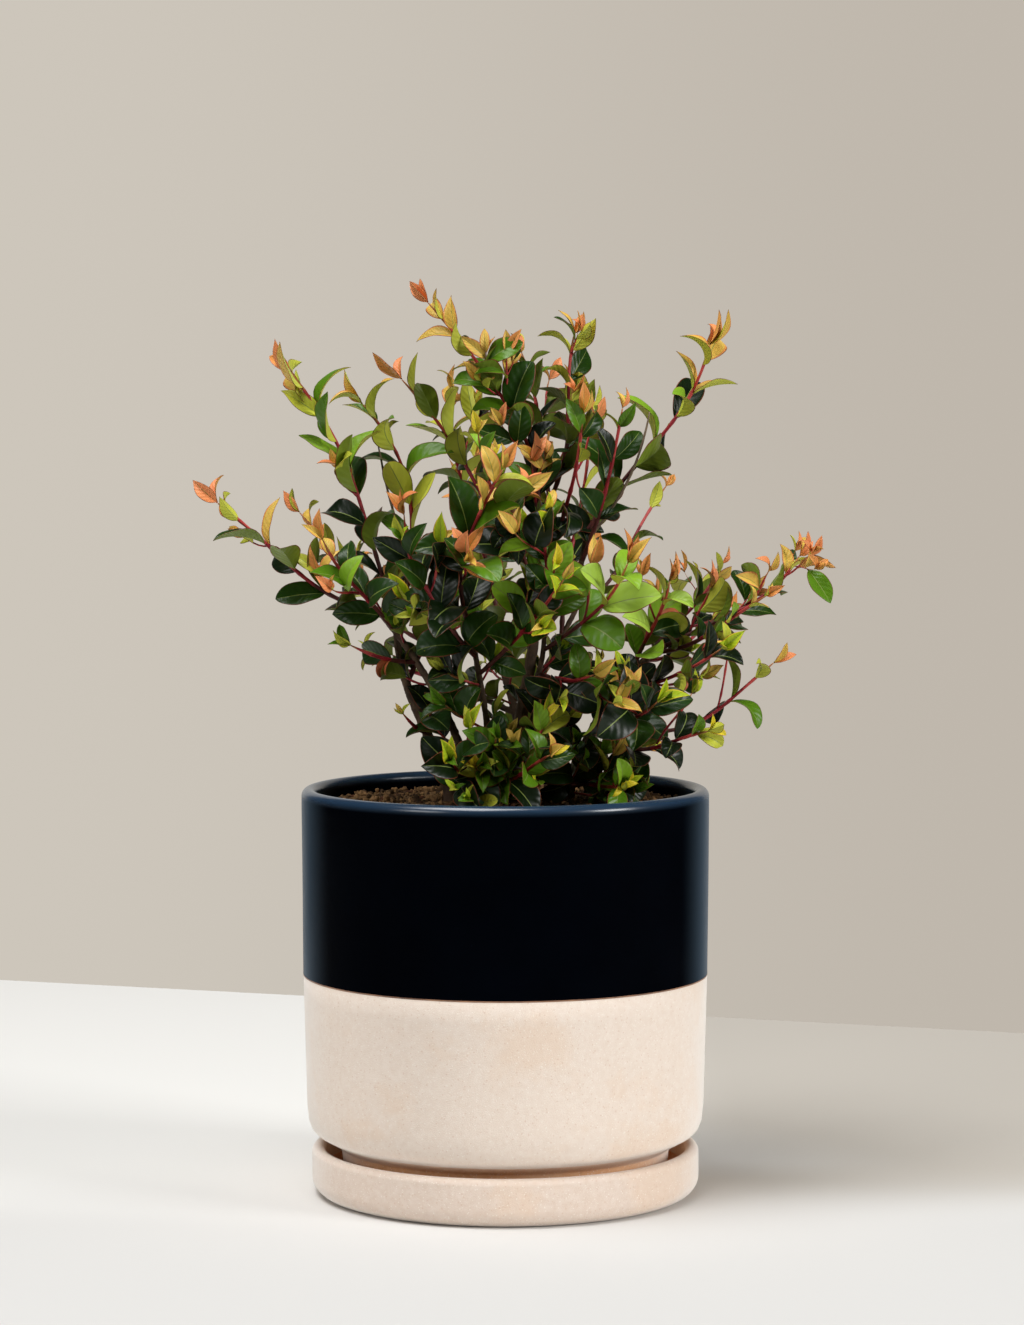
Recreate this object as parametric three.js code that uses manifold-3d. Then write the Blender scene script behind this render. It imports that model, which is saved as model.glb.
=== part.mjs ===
// A young potted crape myrtle: stems, boughs and leafy sprays in a glazed clay pot on its saucer.
// Millimetres, +Z up. The origin is on the floor, under the middle of the saucer.
import * as THREE from 'three';
import { mergeVertices } from 'three/addons/utils/BufferGeometryUtils.js';
import Module from 'manifold-3d';

const wasm = await Module();
wasm.setup();

// Clearance between neighbours
const GAP = 0.3;

// Saucer
const SAUCER_RADIUS = 121;
const SAUCER_HEIGHT = 30;
const SAUCER_WALL = 8.6;
const SAUCER_FLOOR = 9.5;
const SAUCER_FOOT_RADIUS = 110;
const SAUCER_HEEL = 11;

// Pot
const POT_TOP = 253.7;
const RIM_RADIUS = 127;
const RIM_ROUND = 4.6;
const GLAZE_LINE = 137.2;
const GLAZE_LINE_RADIUS = 126.1;
const SHOULDER_RADIUS = 124;
const SHOULDER_HEIGHT = 56;
const CORNER_RADIUS = 121;
const CORNER_HEIGHT = 41.4;
const COVE_RADIUS = 110.5;
const COVE_HEIGHT = 34.3;
const FOOT_RADIUS = 102.5;
const FOOT_TOP = 29.5;
const FOOT_DRAFT = 1.5;
const POT_BASE = SAUCER_FLOOR + GAP;
const POT_FLOOR = 20;
const POT_WALL = 9.4;
const INSIDE_FOOT_RADIUS = FOOT_RADIUS - POT_WALL;
const LATHE_SIDES = 36;

// Potting soil
const SOIL_TOP = 243;
const SOIL_EDGE_DROP = 2;
const SOIL_EDGE_WIDTH = 10;
const SOIL_EDGE_CLEARANCE = 0.6;

// Stems and boughs
const LIMB_SIDES = 6;
const LIMB_STEP = 32;
const FLARE = 0.75;
const FLARE_HEIGHT = 7;
const SWAY = 0.025;
const FOOT_OVERRUN = 3;
const STEEP = 0.7;
const NEARBY = 0.01;

// Twigs: the main stem of a spray and the side twigs on it
const FIRST_SEED = 41;
const TWIG_SIDES = 4;
const TWIG_STEP = 42;
const STEM_RADIUS = 1.5;
const STEM_SHARE = 0.9;
const SIDE_TWIG_RADIUS = 1.05;
const SIDE_SHARE = 0.62;
const TIP_RADIUS = 0.75;
const SIDE_SPACING = 1.4;
const SIDE_SHIFT = 0.04;
const SIDE_SPREAD = [0.65, 0.85];
const SIDE_LENGTH = [34, 50];
const SIDE_SAG = 0.06;
const SIDE_TURNS = [0, 1, -1, 2, -2, 3];
const SIDE_ROOM = 3;
const ROOM_CHECKS = [0.35, 0.5, 0.65, 0.8, 1];
const NUDGES = [0, 0.04, -0.04, 0.09, -0.09, 0.15, -0.15];
const TOO_CLOSE = 0.002;

// Leaves stand in pairs along a twig, smaller and narrower toward its tip
const LEAF_SEED = 1000;
const LARGER = 1.28;
const SIDE_LEAF = 0.86;
const BARE_FOOT = 9;
const INTERNODE = 28;
const PAIR_START = 0.35;
const PAIR_STAGGER = 3;
const LAST_PAIR = 0.985;
const QUARTER = Math.PI / 2;
const PAIR_TWIST = 0.2;
const SPREAD_OLD = 1.12;
const SPREAD_YOUNG = 0.62;
const SPREAD_VARY = 0.15;
const YOUNG_FROM = 0.6;
const YOUNG_SIZE = 0.62;
const YOUNG_WIDTH = 0.4;
const SIZE_VARY = [0.82, 1.12];
const BLADE_WIDTH = 0.52;
const WIDTH_VARY = 0.12;
const TILT = 0.5;
const BUD_AT = 0.97;
const BUD_SIZE = 0.6;
const BUD_WIDTH = 0.3;
const BUD_SPREAD = 0.1;
const BUD_TWIST = 0.3;
const BUD_VARY = [0.8, 1.1];
const LEAF_TURNS = [0, QUARTER, -QUARTER];

// Shape of a leaf, as shares of its length or width
const LIFT = 0.22;
const FACE_UP = 0.4;
const FACE_OUT = 0.9;
const ROOT_DEPTH = 0.55;
const KITE_WIDER = 1.28;
const BLADE_THICKNESS = 0.034;
const THINNEST = 0.7;
const WIDEST = 0.46;
const ARCH = 0.07;
const TIP_DROP = 0.1;
const FOLD = 0.05;

// Room round each leaf
const ROOM = 0.22;
const STEM_ROOM = 2.2;
const MIDRIB_SPOTS = [0.28, 0.52, 0.76, 0.98];
const EDGE_SPOT = 0.45;
const RIM_CLEARANCE = 2;
const WALL_CLEARANCE = 4;
const SPOT_STEP = 5;

// A stem stands on the soil: its foot, its tip, how far its middle bows, its radius at foot and tip
function stem(name, foot, tip, bow, radius) {
  return { name, foot: [...foot, SOIL_TOP], tip, bow, radius };
}

const STEMS = [
  stem('left_stem', [-32, 8], [-68, -8, 356], [-4, -4, 0], [3.8, 2]),
  stem('left_low_stem', [-16, -14], [-78, -21, 364], [6, -2, 6], [2.8, 1.8]),
  stem('inner_left_stem', [-8, -27], [-21, -36, 352], [3, 2, 0], [2.4, 1.6]),
  stem('centre_stem', [7, 2], [14, 0, 392], [3, 3, 0], [4.6, 2.6]),
  stem('right_stem', [36, 12], [100, 2, 342], [-7, -2, 8], [4, 2.1]),
  stem('back_stem', [10, 36], [-4, 78, 352], [2, -6, 4], [3.4, 1.8]),
];

// A bough leaves a stem or another bough at a share of that one's length
function bough(name, on, at, tip, bow, radius) {
  return { name, on, at, tip, bow, radius };
}

const BOUGHS = [
  bough('centre_top_bough', 'centre_stem', 0.84, [28, 14, 432], [6, 5, -3], [2.2, 1.6]),
  bough('centre_right_bough', 'centre_stem', 0.68, [50, 6, 412], [5, -3, -6], [2.1, 1.6]),
  bough('front_bough', 'centre_stem', 0.42, [24, -36, 352], [2, -5, -5], [2, 1.5]),
  bough('right_low_bough', 'right_stem', 0.3, [86, -26, 290], [0, -5, -3], [1.9, 1.4]),
  bough('right_back_bough', 'right_stem', 0.48, [88, 46, 330], [0, 5, -5], [2, 1.5]),
  bough('back_left_bough', 'back_stem', 0.45, [-52, 68, 340], [-2, 4, -8], [2, 1.5]),
  bough('back_right_bough', 'back_stem', 0.56, [46, 80, 362], [4, 3, -6], [2, 1.5]),
  bough('dead_twig_left', 'left_stem', 0.96, [-80, 20, 468], [8, 8, 0], [1.2, 0.6]),
  bough('dead_twig_right', 'centre_right_bough', 0.94, [89, -12, 487], [5, -5, -5], [1.1, 0.6]),
];

// A leafy spray also has the length of its full-grown leaves, its number of side twigs and its tint
function spray(name, on, at, tip, bow, leaf, twigs, tint) {
  return { name: `spray_${name}`, on, at, tip, bow, leaf: LARGER * leaf, twigs, tint };
}

const SPRAYS = [
  spray('far_left', 'left_low_stem', 1, [-186, -30, 439], [0, 0, -9], 23, 2, 'copper'),
  spray('left_front', 'left_low_stem', 0.9, [-114, -68, 420], [0, -4, -6], 24, 1, 'olive'),
  spray('left_low', 'left_low_stem', 0.7, [-104, -46, 350], [0, 0, -4], 27, 2, 'dark'),
  spray('upper_left', 'left_stem', 1, [-141, 0, 521], [12, 0, 0], 24, 2, 'olive'),
  spray('left_middle', 'left_stem', 0.88, [-99, 24, 502], [24, 10, 0], 24, 2, 'olive'),
  spray('left_inside', 'left_stem', 0.66, [-28, -8, 396], [0, 4, -6], 26, 1, 'dark'),
  spray('left_foot', 'left_stem', 0.4, [-66, -30, 306], [0, 0, -3], 24, 1, 'dark'),
  spray('high_left', 'centre_stem', 0.96, [-74, 28, 517], [8, 6, -4], 24, 2, 'olive'),
  spray('top_left', 'centre_stem', 1, [-57, 0, 564], [28, 0, 4], 23, 4, 'copper'),
  spray('top_middle', 'centre_top_bough', 1, [45, 20, 546], [3, 0, 0], 23, 3, 'copper'),
  spray('top_back', 'centre_top_bough', 0.8, [6, 60, 536], [4, 6, -6], 22, 2, 'olive'),
  spray('top_front', 'centre_top_bough', 0.6, [48, -44, 498], [2, -4, -8], 24, 2, 'copper'),
  spray('upper_right', 'centre_right_bough', 1, [130, 10, 540], [6, 0, -5], 27, 1, 'olive'),
  spray('right_of_top', 'centre_right_bough', 0.8, [74, -18, 502], [2, -4, -6], 24, 2, 'olive'),
  spray('yellow_bud', 'centre_stem', 0.9, [-18, -52, 486], [0, -4, -8], 23, 2, 'lime'),
  spray('front_left', 'inner_left_stem', 1, [5, -92, 463], [-15, 0, 0], 28, 2, 'copper'),
  spray('left_of_front', 'inner_left_stem', 0.86, [-66, -82, 420], [0, -4, -8], 27, 2, 'dark'),
  spray('front_middle', 'front_bough', 1, [27, -84, 438], [0, -4, -4], 24, 2, 'lime'),
  spray('front_low', 'inner_left_stem', 0.76, [41, -98, 396], [0, 0, -5], 25, 1, 'lime'),
  spray('front_right', 'front_bough', 0.84, [78, -76, 408], [4, 0, -9], 28, 1, 'light'),
  spray('front_heart', 'front_bough', 0.56, [62, -72, 332], [0, 0, -6], 27, 2, 'dark'),
  spray('middle_low', 'centre_stem', 0.3, [46, -44, 304], [0, 0, -4], 26, 2, 'dark'),
  spray('far_right', 'right_stem', 1, [189, 0, 409], [4, 0, -10], 21, 4, 'copper'),
  spray('right_front', 'right_stem', 0.93, [168, -38, 380], [0, -4, -5], 21, 2, 'olive'),
  spray('right_upper', 'right_stem', 0.86, [142, 44, 402], [0, 4, -6], 21, 2, 'copper'),
  spray('right_middle', 'right_stem', 0.76, [104, -26, 396], [0, -3, -6], 26, 2, 'light'),
  spray('right_lower', 'right_stem', 0.62, [138, -56, 349], [0, -3, -6], 25, 2, 'dark'),
  spray('right_heart', 'right_stem', 0.42, [98, -66, 318], [0, -3, -6], 29, 2, 'dark'),
  spray('right_low', 'right_low_bough', 1, [174, -22, 340], [4, 0, -9], 22, 3, 'copper'),
  spray('right_lowest', 'right_low_bough', 0.5, [130, -78, 296], [0, 0, -4], 25, 1, 'lime'),
  spray('rim_right', 'right_stem', 0.18, [97, 34, 274], [0, 0, 2], 27, 2, 'dark'),
  spray('soil_right', 'right_stem', 0.08, [78, -56, 264], [0, 0, -2], 22, 1, 'lime'),
  spray('low_front', 'inner_left_stem', 0.16, [34, -84, 284], [0, 0, -3], 23, 1, 'lime'),
  spray('low_left', 'left_low_stem', 0.1, [-36, -72, 282], [0, 0, -3], 28, 1, 'dark'),
  spray('back_middle', 'back_stem', 1, [-22, 152, 468], [0, 8, -10], 24, 2, 'copper'),
  spray('back_high', 'back_stem', 0.84, [-34, 96, 512], [-4, 8, 0], 24, 2, 'olive'),
  spray('back_low', 'back_stem', 0.4, [16, 138, 332], [0, 4, -9], 26, 1, 'dark'),
  spray('back_left', 'back_left_bough', 1, [-142, 112, 432], [0, 0, -9], 24, 2, 'copper'),
  spray('back_left_low', 'back_left_bough', 0.64, [-96, 122, 338], [0, 0, -6], 26, 1, 'dark'),
  spray('back_right', 'back_right_bough', 1, [112, 140, 448], [0, 0, -8], 24, 2, 'olive'),
  spray('back_right_high', 'back_right_bough', 0.72, [56, 102, 500], [0, 4, -6], 24, 2, 'olive'),
  spray('back_right_low', 'right_back_bough', 1, [150, 112, 366], [0, 4, -7], 24, 2, 'copper'),
];

// Colours
const GLAZE = 0x05070c;
const CLAY = 0xe6c8ae;
const EARTH = 0x4a3626;
const BARK = 0x5d4a3c;
const TINTS = {
  dark: 0x1f3f22,
  light: 0x6fa544,
  lime: 0x8fae2c,
  olive: 0x4a6b28,
  copper: 0x8d6a2e,
};
const GLAZE_ROUGHNESS = 0.35;
const CLAY_ROUGHNESS = 0.8;
const EARTH_ROUGHNESS = 0.95;
const BARK_ROUGHNESS = 0.85;
const LEAF_ROUGHNESS = 0.5;

const UP = new THREE.Vector3(0, 0, 1);
const BACK = new THREE.Vector3(0, 1, 0);
const HEART = new THREE.Vector3(0, 0, SOIL_TOP);

const plant = new THREE.Group();

function addMesh(name, geometry, color, roughness) {
  const material = new THREE.MeshStandardMaterial({ color, roughness, metalness: 0 });
  const mesh = new THREE.Mesh(geometry, material);
  mesh.name = name;
  plant.add(mesh);
}

// Points of an arc in a profile, from one angle to another in quarter turns
function arc(across, height, radius, from, to, steps) {
  const points = [];
  for (let i = 0; i <= steps; i++) {
    const angle = (Math.PI / 2) * (from + ((to - from) * i) / steps);
    points.push([across + radius * Math.cos(angle), height + radius * Math.sin(angle)]);
  }
  return points;
}

// A turned piece from its profile of distances from the axis and heights
function turned(profile) {
  const points = profile.map(([across, height]) => new THREE.Vector2(across, height));
  const geometry = new THREE.LatheGeometry(points, LATHE_SIDES);
  geometry.rotateX(Math.PI / 2);
  return geometry;
}

function saucerProfile() {
  const lip = SAUCER_WALL / 2;
  const inside = SAUCER_RADIUS - SAUCER_WALL;
  const cove = 7;
  return [
    [0, 0],
    [SAUCER_FOOT_RADIUS, 0],
    ...arc(SAUCER_FOOT_RADIUS, SAUCER_HEEL, SAUCER_HEEL, -0.7, 0, 2),
    ...arc(SAUCER_RADIUS - lip, SAUCER_HEIGHT - lip, lip, 0, 2, 5),
    ...arc(inside - cove, SAUCER_FLOOR + cove, cove, 0, -1, 2),
    [0, SAUCER_FLOOR],
  ];
}

// The pot's inside, drawn in by a clearance when it shapes the soil
function insideProfile(clear) {
  return [
    [0, POT_FLOOR + clear],
    [INSIDE_FOOT_RADIUS - clear, POT_FLOOR + clear],
    [INSIDE_FOOT_RADIUS - clear, COVE_HEIGHT - 1 + clear],
    [CORNER_RADIUS - POT_WALL - clear, CORNER_HEIGHT + 4 + clear],
    [SHOULDER_RADIUS - POT_WALL - clear, SHOULDER_HEIGHT + 6 + clear],
  ];
}

function potProfile() {
  const corner = 5;
  const tube = RIM_RADIUS - RIM_ROUND;
  return [
    [0, POT_BASE],
    [FOOT_RADIUS - FOOT_DRAFT, POT_BASE],
    [FOOT_RADIUS, FOOT_TOP],
    [COVE_RADIUS, COVE_HEIGHT],
    [CORNER_RADIUS - corner + 1, CORNER_HEIGHT - corner + 1],
    [CORNER_RADIUS, CORNER_HEIGHT],
    [SHOULDER_RADIUS - 1, CORNER_HEIGHT + corner],
    [SHOULDER_RADIUS, SHOULDER_HEIGHT],
    [GLAZE_LINE_RADIUS, GLAZE_LINE],
    ...arc(tube, POT_TOP - RIM_ROUND, RIM_ROUND, 0, 2, 5),
    ...insideProfile(0).reverse(),
  ];
}

function soilProfile() {
  const wall = RIM_RADIUS - 2 * RIM_ROUND - GAP;
  return [
    ...insideProfile(GAP),
    [wall - SOIL_EDGE_CLEARANCE, SOIL_TOP - SOIL_EDGE_DROP],
    [wall - SOIL_EDGE_WIDTH, SOIL_TOP],
    [0, SOIL_TOP],
  ];
}

// Random numbers from a seed, so that the plant grows the same each time
function dice(seed) {
  let state = seed;
  return () => {
    state = (state + 0x6d2b79f5) >>> 0;
    let mix = Math.imul(state ^ (state >>> 15), state | 1);
    mix ^= mix + Math.imul(mix ^ (mix >>> 7), mix | 61);
    return ((mix ^ (mix >>> 14)) >>> 0) / 2 ** 32;
  };
}

// A number between two others, from the next random draw
function between(roll, low, high) {
  return low + (high - low) * roll();
}

function mix(low, high, share) {
  return low + (high - low) * share;
}

// A curved middle line with its length, and the two directions across it
class Line {
  constructor(from, to, bow, roll) {
    this.from = from.clone();
    this.reach = to.clone().sub(from);
    this.length = this.reach.length();
    this.bow = bow;
    this.guide = Math.abs(this.reach.z) > STEEP * this.length ? BACK : UP;
    const turn = between(roll, 0, 2 * Math.PI);
    this.sway = this.across(0.5, turn).multiplyScalar(SWAY * this.length);
  }

  point(t) {
    const place = this.from.clone().addScaledVector(this.reach, t);
    place.addScaledVector(this.bow, 4 * t * (1 - t));
    if (this.sway) place.addScaledVector(this.sway, Math.sin(2 * Math.PI * t));
    return place;
  }

  // The same place on the straight runs between the twig's bends
  onTwig(t) {
    const run = Math.min(this.steps - 1, Math.floor(t * this.steps));
    const end = this.point((run + 1) / this.steps);
    return this.point(run / this.steps).lerp(end, t * this.steps - run);
  }

  along(t) {
    return this.point(t + NEARBY).sub(this.point(t - NEARBY)).normalize();
  }

  across(t, angle) {
    const along = this.along(t);
    const side = new THREE.Vector3().crossVectors(along, this.guide).normalize();
    const other = new THREE.Vector3().crossVectors(side, along);
    return side.multiplyScalar(Math.cos(angle)).addScaledVector(other, Math.sin(angle));
  }
}

// A closed tube along a line between two shares of its length, its ends flat and square to it
function tube(line, from, to, radiusAt, sides, steps, turn) {
  const positions = [];
  const index = [];
  for (let i = 0; i <= steps; i++) {
    const t = mix(from, to, i / steps);
    const middle = line.point(t);
    for (let j = 0; j < sides; j++) {
      const spoke = line.across(t, turn + (2 * Math.PI * j) / sides);
      positions.push(...middle.clone().addScaledVector(spoke, radiusAt(t)));
    }
  }
  for (let i = 0; i < steps; i++) {
    for (let j = 0; j < sides; j++) {
      const a = i * sides + j;
      const b = i * sides + ((j + 1) % sides);
      index.push(a, b + sides, b, a, a + sides, b + sides);
    }
  }
  const last = steps * sides;
  for (let j = 1; j < sides - 1; j++) {
    index.push(0, j, j + 1, last, last + j + 1, last + j);
  }
  return toSolid(positions, index);
}

function toSolid(positions, index) {
  const mesh = new wasm.Mesh({
    numProp: 3,
    vertProperties: new Float32Array(positions),
    triVerts: new Uint32Array(index),
  });
  return new wasm.Manifold(mesh);
}

function toGeometry(solid) {
  const mesh = solid.getMesh();
  const geometry = new THREE.BufferGeometry();
  geometry.setAttribute('position', new THREE.BufferAttribute(mesh.vertProperties, 3));
  geometry.setIndex(new THREE.BufferAttribute(mesh.triVerts, 1));
  return mergeVertices(geometry);
}

// The largest body of a solid: hollows that fusing sealed are filled and scraps dropped
function largestBody(solid) {
  let best = null;
  for (const body of solid.decompose()) {
    if (best === null || body.volume() > best.volume()) best = body;
  }
  return best;
}

function fuse(solids) {
  return solids.reduce((whole, solid) => whole.add(solid));
}

function boxesMeet(a, b) {
  return [0, 1, 2].every((k) => a.min[k] < b.max[k] && b.min[k] < a.max[k]);
}

function cuts(solid, other) {
  if (!boxesMeet(solid.boundingBox(), other.boundingBox())) return false;
  return !solid.intersect(other).isEmpty();
}

// Limbs: a stem stands on the soil, a bough starts inside its parent and is cut clear of it
const limbs = new Map();

function limbRadius(limb, t, extra) {
  const height = t * limb.line.length;
  const flare = limb.parent ? 1 : 1 + FLARE * Math.exp(-Math.max(0, height) / FLARE_HEIGHT);
  return mix(limb.radius[0], limb.radius[1], t) * flare + extra;
}

function limbSolid(limb, extra) {
  const foot = limb.parent ? 0 : -FOOT_OVERRUN / limb.line.length;
  const steps = Math.max(3, Math.round(limb.line.length / LIMB_STEP));
  const slack = extra / Math.cos(Math.PI / LIMB_SIDES);
  const end = 1 + extra / limb.line.length;
  return tube(limb.line, foot, end, (t) => limbRadius(limb, t, slack), LIMB_SIDES, steps, 0);
}

// The part of a solid above the soil
function levelFoot(solid) {
  return solid.trimByPlane([0, 0, 1], SOIL_TOP);
}

function makeLimbs() {
  [...STEMS, ...BOUGHS].forEach((row, order) => {
    const parent = row.on ? limbs.get(row.on) : null;
    const foot = parent ? parent.line.point(row.at) : new THREE.Vector3(...row.foot);
    const roll = dice(order + 1);
    const line = new Line(foot, new THREE.Vector3(...row.tip), new THREE.Vector3(...row.bow), roll);
    const limb = { ...row, line, parent };
    limb.solid = parent
      ? largestBody(limbSolid(limb, 0).subtract(parent.fat))
      : levelFoot(limbSolid(limb, 0));
    limb.fat = limbSolid(limb, GAP);
    limbs.set(row.name, limb);
  });
}

// Sprays: first where every stem, twig and leaf would be, then which of them have room
const leafSpots = [];
const stemSpots = [];

function addStemSpots(node, line, radiusAt) {
  const steps = Math.ceil(line.length / SPOT_STEP);
  for (let i = 0; i <= steps; i++) {
    const t = i / steps;
    stemSpots.push({ node, place: line.point(t), radius: radiusAt(t) });
  }
}

// Six places that stand for a leaf: four on its midrib and one at each edge
function spotsOf(leaf) {
  const spots = MIDRIB_SPOTS.map((share) => leafPoint(leaf, share, 0));
  spots.push(leafPoint(leaf, WIDEST, EDGE_SPOT), leafPoint(leaf, WIDEST, -EDGE_SPOT));
  return spots;
}

// A place on a leaf: a share of its length from the root and of its width from the midrib
function leafPoint(leaf, share, aside) {
  const bend = share < WIDEST ? share / WIDEST : (1 - share) / (1 - WIDEST);
  const height = ARCH * bend - TIP_DROP * share * share;
  const place = leaf.root.clone().addScaledVector(leaf.along, share * leaf.length);
  place.addScaledVector(leaf.face, height * leaf.length + Math.abs(aside) * 2 * FOLD * leaf.width);
  return place.addScaledVector(leaf.side, aside * leaf.width);
}

function inTheOpen(spot) {
  const inside = Math.hypot(spot.x, spot.y) < RIM_RADIUS - 2 * RIM_ROUND - WALL_CLEARANCE;
  return spot.z > POT_TOP + RIM_CLEARANCE || (inside && spot.z > SOIL_TOP + RIM_CLEARANCE);
}

function hasRoom(leaf) {
  return spotsOf(leaf).every((spot) => {
    if (!inTheOpen(spot)) return false;
    const clearOfStems = stemSpots.every((stem) => (
      stem.node === leaf.node || spot.distanceTo(stem.place) > stem.radius + STEM_ROOM));
    return clearOfStems && leafSpots.every((other) => (
      spot.distanceTo(other.place) > ROOM * Math.min(leaf.length, other.length)));
  });
}

// A leaf leaves its twig at an angle to it and turns its face up and away from the pot's axis
function makeLeaf(node, line, t, angle, spread, length, width, tilt) {
  const along = line.along(t);
  const direction = along.clone().multiplyScalar(Math.cos(spread));
  direction.addScaledVector(line.across(t, angle), Math.sin(spread));
  direction.addScaledVector(UP, LIFT).normalize();
  const outward = line.point(t).setZ(0).normalize();
  const face = along.addScaledVector(UP, FACE_UP).addScaledVector(outward, FACE_OUT);
  face.addScaledVector(direction, -face.dot(direction)).normalize();
  face.applyAxisAngle(direction, tilt);
  const side = new THREE.Vector3().crossVectors(direction, face);
  const root = line.onTwig(t).addScaledVector(direction, ROOT_DEPTH * line.radiusAt(t));
  return { node, root, along: direction, face, side, length, width };
}

// A leaf takes the first of a few turns round its twig that has room, or is left out
function placeLeaf(leaves, node, line, t, angle, spread, length, width, tilt) {
  for (const turn of LEAF_TURNS) {
    const leaf = makeLeaf(node, line, t, angle + turn, spread, length, width, tilt);
    if (hasRoom(leaf)) {
      leaves.push(leaf);
      spotsOf(leaf).forEach((place) => leafSpots.push({ place, length }));
      return;
    }
  }
}

// Pairs of leaves that turn a quarter from node to node
function leafTwig(leaves, node, line, size, roll) {
  const run = line.length - BARE_FOOT;
  const pairs = Math.max(1, Math.round(run / INTERNODE));
  const first = between(roll, 0, Math.PI);
  line.turn = first + Math.PI / TWIG_SIDES;
  for (let i = 0; i < pairs; i++) {
    for (let j = 0; j < 2; j++) {
      const distance = BARE_FOOT + (run * (i + PAIR_START)) / pairs + j * PAIR_STAGGER;
      const t = Math.min(distance / line.length, LAST_PAIR);
      const young = Math.max(0, (t - YOUNG_FROM) / (1 - YOUNG_FROM));
      const twist = between(roll, -PAIR_TWIST, PAIR_TWIST);
      const angle = first + i * QUARTER + j * Math.PI + twist;
      const spread = mix(SPREAD_OLD, SPREAD_YOUNG, t) + between(roll, -SPREAD_VARY, SPREAD_VARY);
      const length = size * mix(1, YOUNG_SIZE, young) * between(roll, ...SIZE_VARY);
      const shape = mix(BLADE_WIDTH, YOUNG_WIDTH, young);
      const width = length * shape * between(roll, 1 - WIDTH_VARY, 1 + WIDTH_VARY);
      const tilt = between(roll, -TILT, TILT);
      placeLeaf(leaves, node, line, t, angle, spread, length, width, tilt);
    }
  }
  return first;
}

// A narrow young leaf at the tip of a main stem
function addBud(leaves, node, line, size, first, roll) {
  const angle = first + between(roll, -BUD_TWIST, BUD_TWIST);
  const length = size * BUD_SIZE * between(roll, ...BUD_VARY);
  placeLeaf(leaves, node, line, BUD_AT, angle, BUD_SPREAD, length, length * BUD_WIDTH, 0);
}

function twigRadius(thick) {
  return (t) => mix(thick, Math.min(thick, TIP_RADIUS), t);
}

// The main stem of every spray comes first, so that all leaves keep clear of it
function startSpray(row, order) {
  const roll = dice(FIRST_SEED + order);
  const parent = limbs.get(row.on);
  const bow = new THREE.Vector3(...row.bow);
  const line = new Line(parent.line.point(row.at), new THREE.Vector3(...row.tip), bow, roll);
  line.radiusAt = twigRadius(Math.min(STEM_RADIUS, STEM_SHARE * limbRadius(parent, row.at, 0)));
  line.steps = Math.max(2, Math.round(line.length / TWIG_STEP));
  addStemSpots(row.name, line, line.radiusAt);
  return { ...row, order, roll, parent, line, twigLines: [], leaves: [] };
}

// A side twig keeps clear of other limbs and within the reach of its spray's own tip
function twigHasRoom(node, line, farthest) {
  if (line.point(1).distanceTo(HEART) > farthest) return false;
  return ROOM_CHECKS.every((t) => {
    const place = line.point(t);
    return inTheOpen(place) && stemSpots.every((stem) => (
      stem.node === node || place.distanceTo(stem.place) > stem.radius + SIDE_ROOM));
  });
}

function sideTwig(line, t, angle, spread, length, swaySeed) {
  const direction = line.along(t).multiplyScalar(Math.cos(spread));
  direction.addScaledVector(line.across(t, angle), Math.sin(spread));
  direction.addScaledVector(UP, LIFT).normalize();
  const from = line.onTwig(t);
  const tip = from.clone().addScaledVector(direction, length);
  const side = new Line(from, tip, new THREE.Vector3(0, 0, -SIDE_SAG * length), dice(swaySeed));
  side.radiusAt = twigRadius(Math.min(SIDE_TWIG_RADIUS, SIDE_SHARE * line.radiusAt(t)));
  side.steps = 1;
  return side;
}

// Side twigs leave the main stem at even shares, each turned to the first side with room
function branchSpray(spray) {
  const { roll, line } = spray;
  const farthest = line.point(1).distanceTo(HEART);
  for (let k = 0; k < spray.twigs; k++) {
    const t = (k + 1) / (spray.twigs + SIDE_SPACING) + between(roll, -SIDE_SHIFT, SIDE_SHIFT);
    const angle = between(roll, 0, 2 * Math.PI);
    const spread = between(roll, ...SIDE_SPREAD);
    const length = between(roll, ...SIDE_LENGTH);
    const swaySeed = Math.floor(between(roll, 0, LEAF_SEED));
    for (const turn of SIDE_TURNS) {
      const side = sideTwig(line, t, angle + turn, spread, length, swaySeed);
      if (twigHasRoom(spray.name, side, farthest)) {
        spray.twigLines.push(side);
        addStemSpots(spray.name, side, side.radiusAt);
        break;
      }
    }
  }
}

function leafSpray(spray) {
  const { leaves, name, line, leaf, roll, order } = spray;
  const first = leafTwig(leaves, name, line, leaf, roll);
  addBud(leaves, name, line, leaf, first, roll);
  spray.twigLines.forEach((side, k) => {
    leafTwig(leaves, name, side, leaf * SIDE_LEAF, dice(LEAF_SEED + 10 * order + k));
  });
}

// A leaf as a kite of six faces: a bent top, and a keel under the midrib
function leafSolid(leaf, extra) {
  const keel = Math.max(THINNEST, BLADE_THICKNESS * leaf.length) / 2 + extra;
  const wide = KITE_WIDER / 2 + extra / leaf.width;
  const points = [
    leafPoint(leaf, -extra / leaf.length, 0),
    leafPoint(leaf, 1 + extra / leaf.length, 0),
    leafPoint(leaf, WIDEST, wide),
    leafPoint(leaf, WIDEST, -wide),
    leafPoint(leaf, WIDEST, 0).addScaledVector(leaf.face, -keel),
  ];
  const positions = points.flatMap((point) => [...point]);
  const index = [0, 2, 3, 2, 1, 3, 0, 3, 4, 3, 1, 4, 1, 2, 4, 2, 0, 4];
  return toSolid(positions, index);
}

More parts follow.
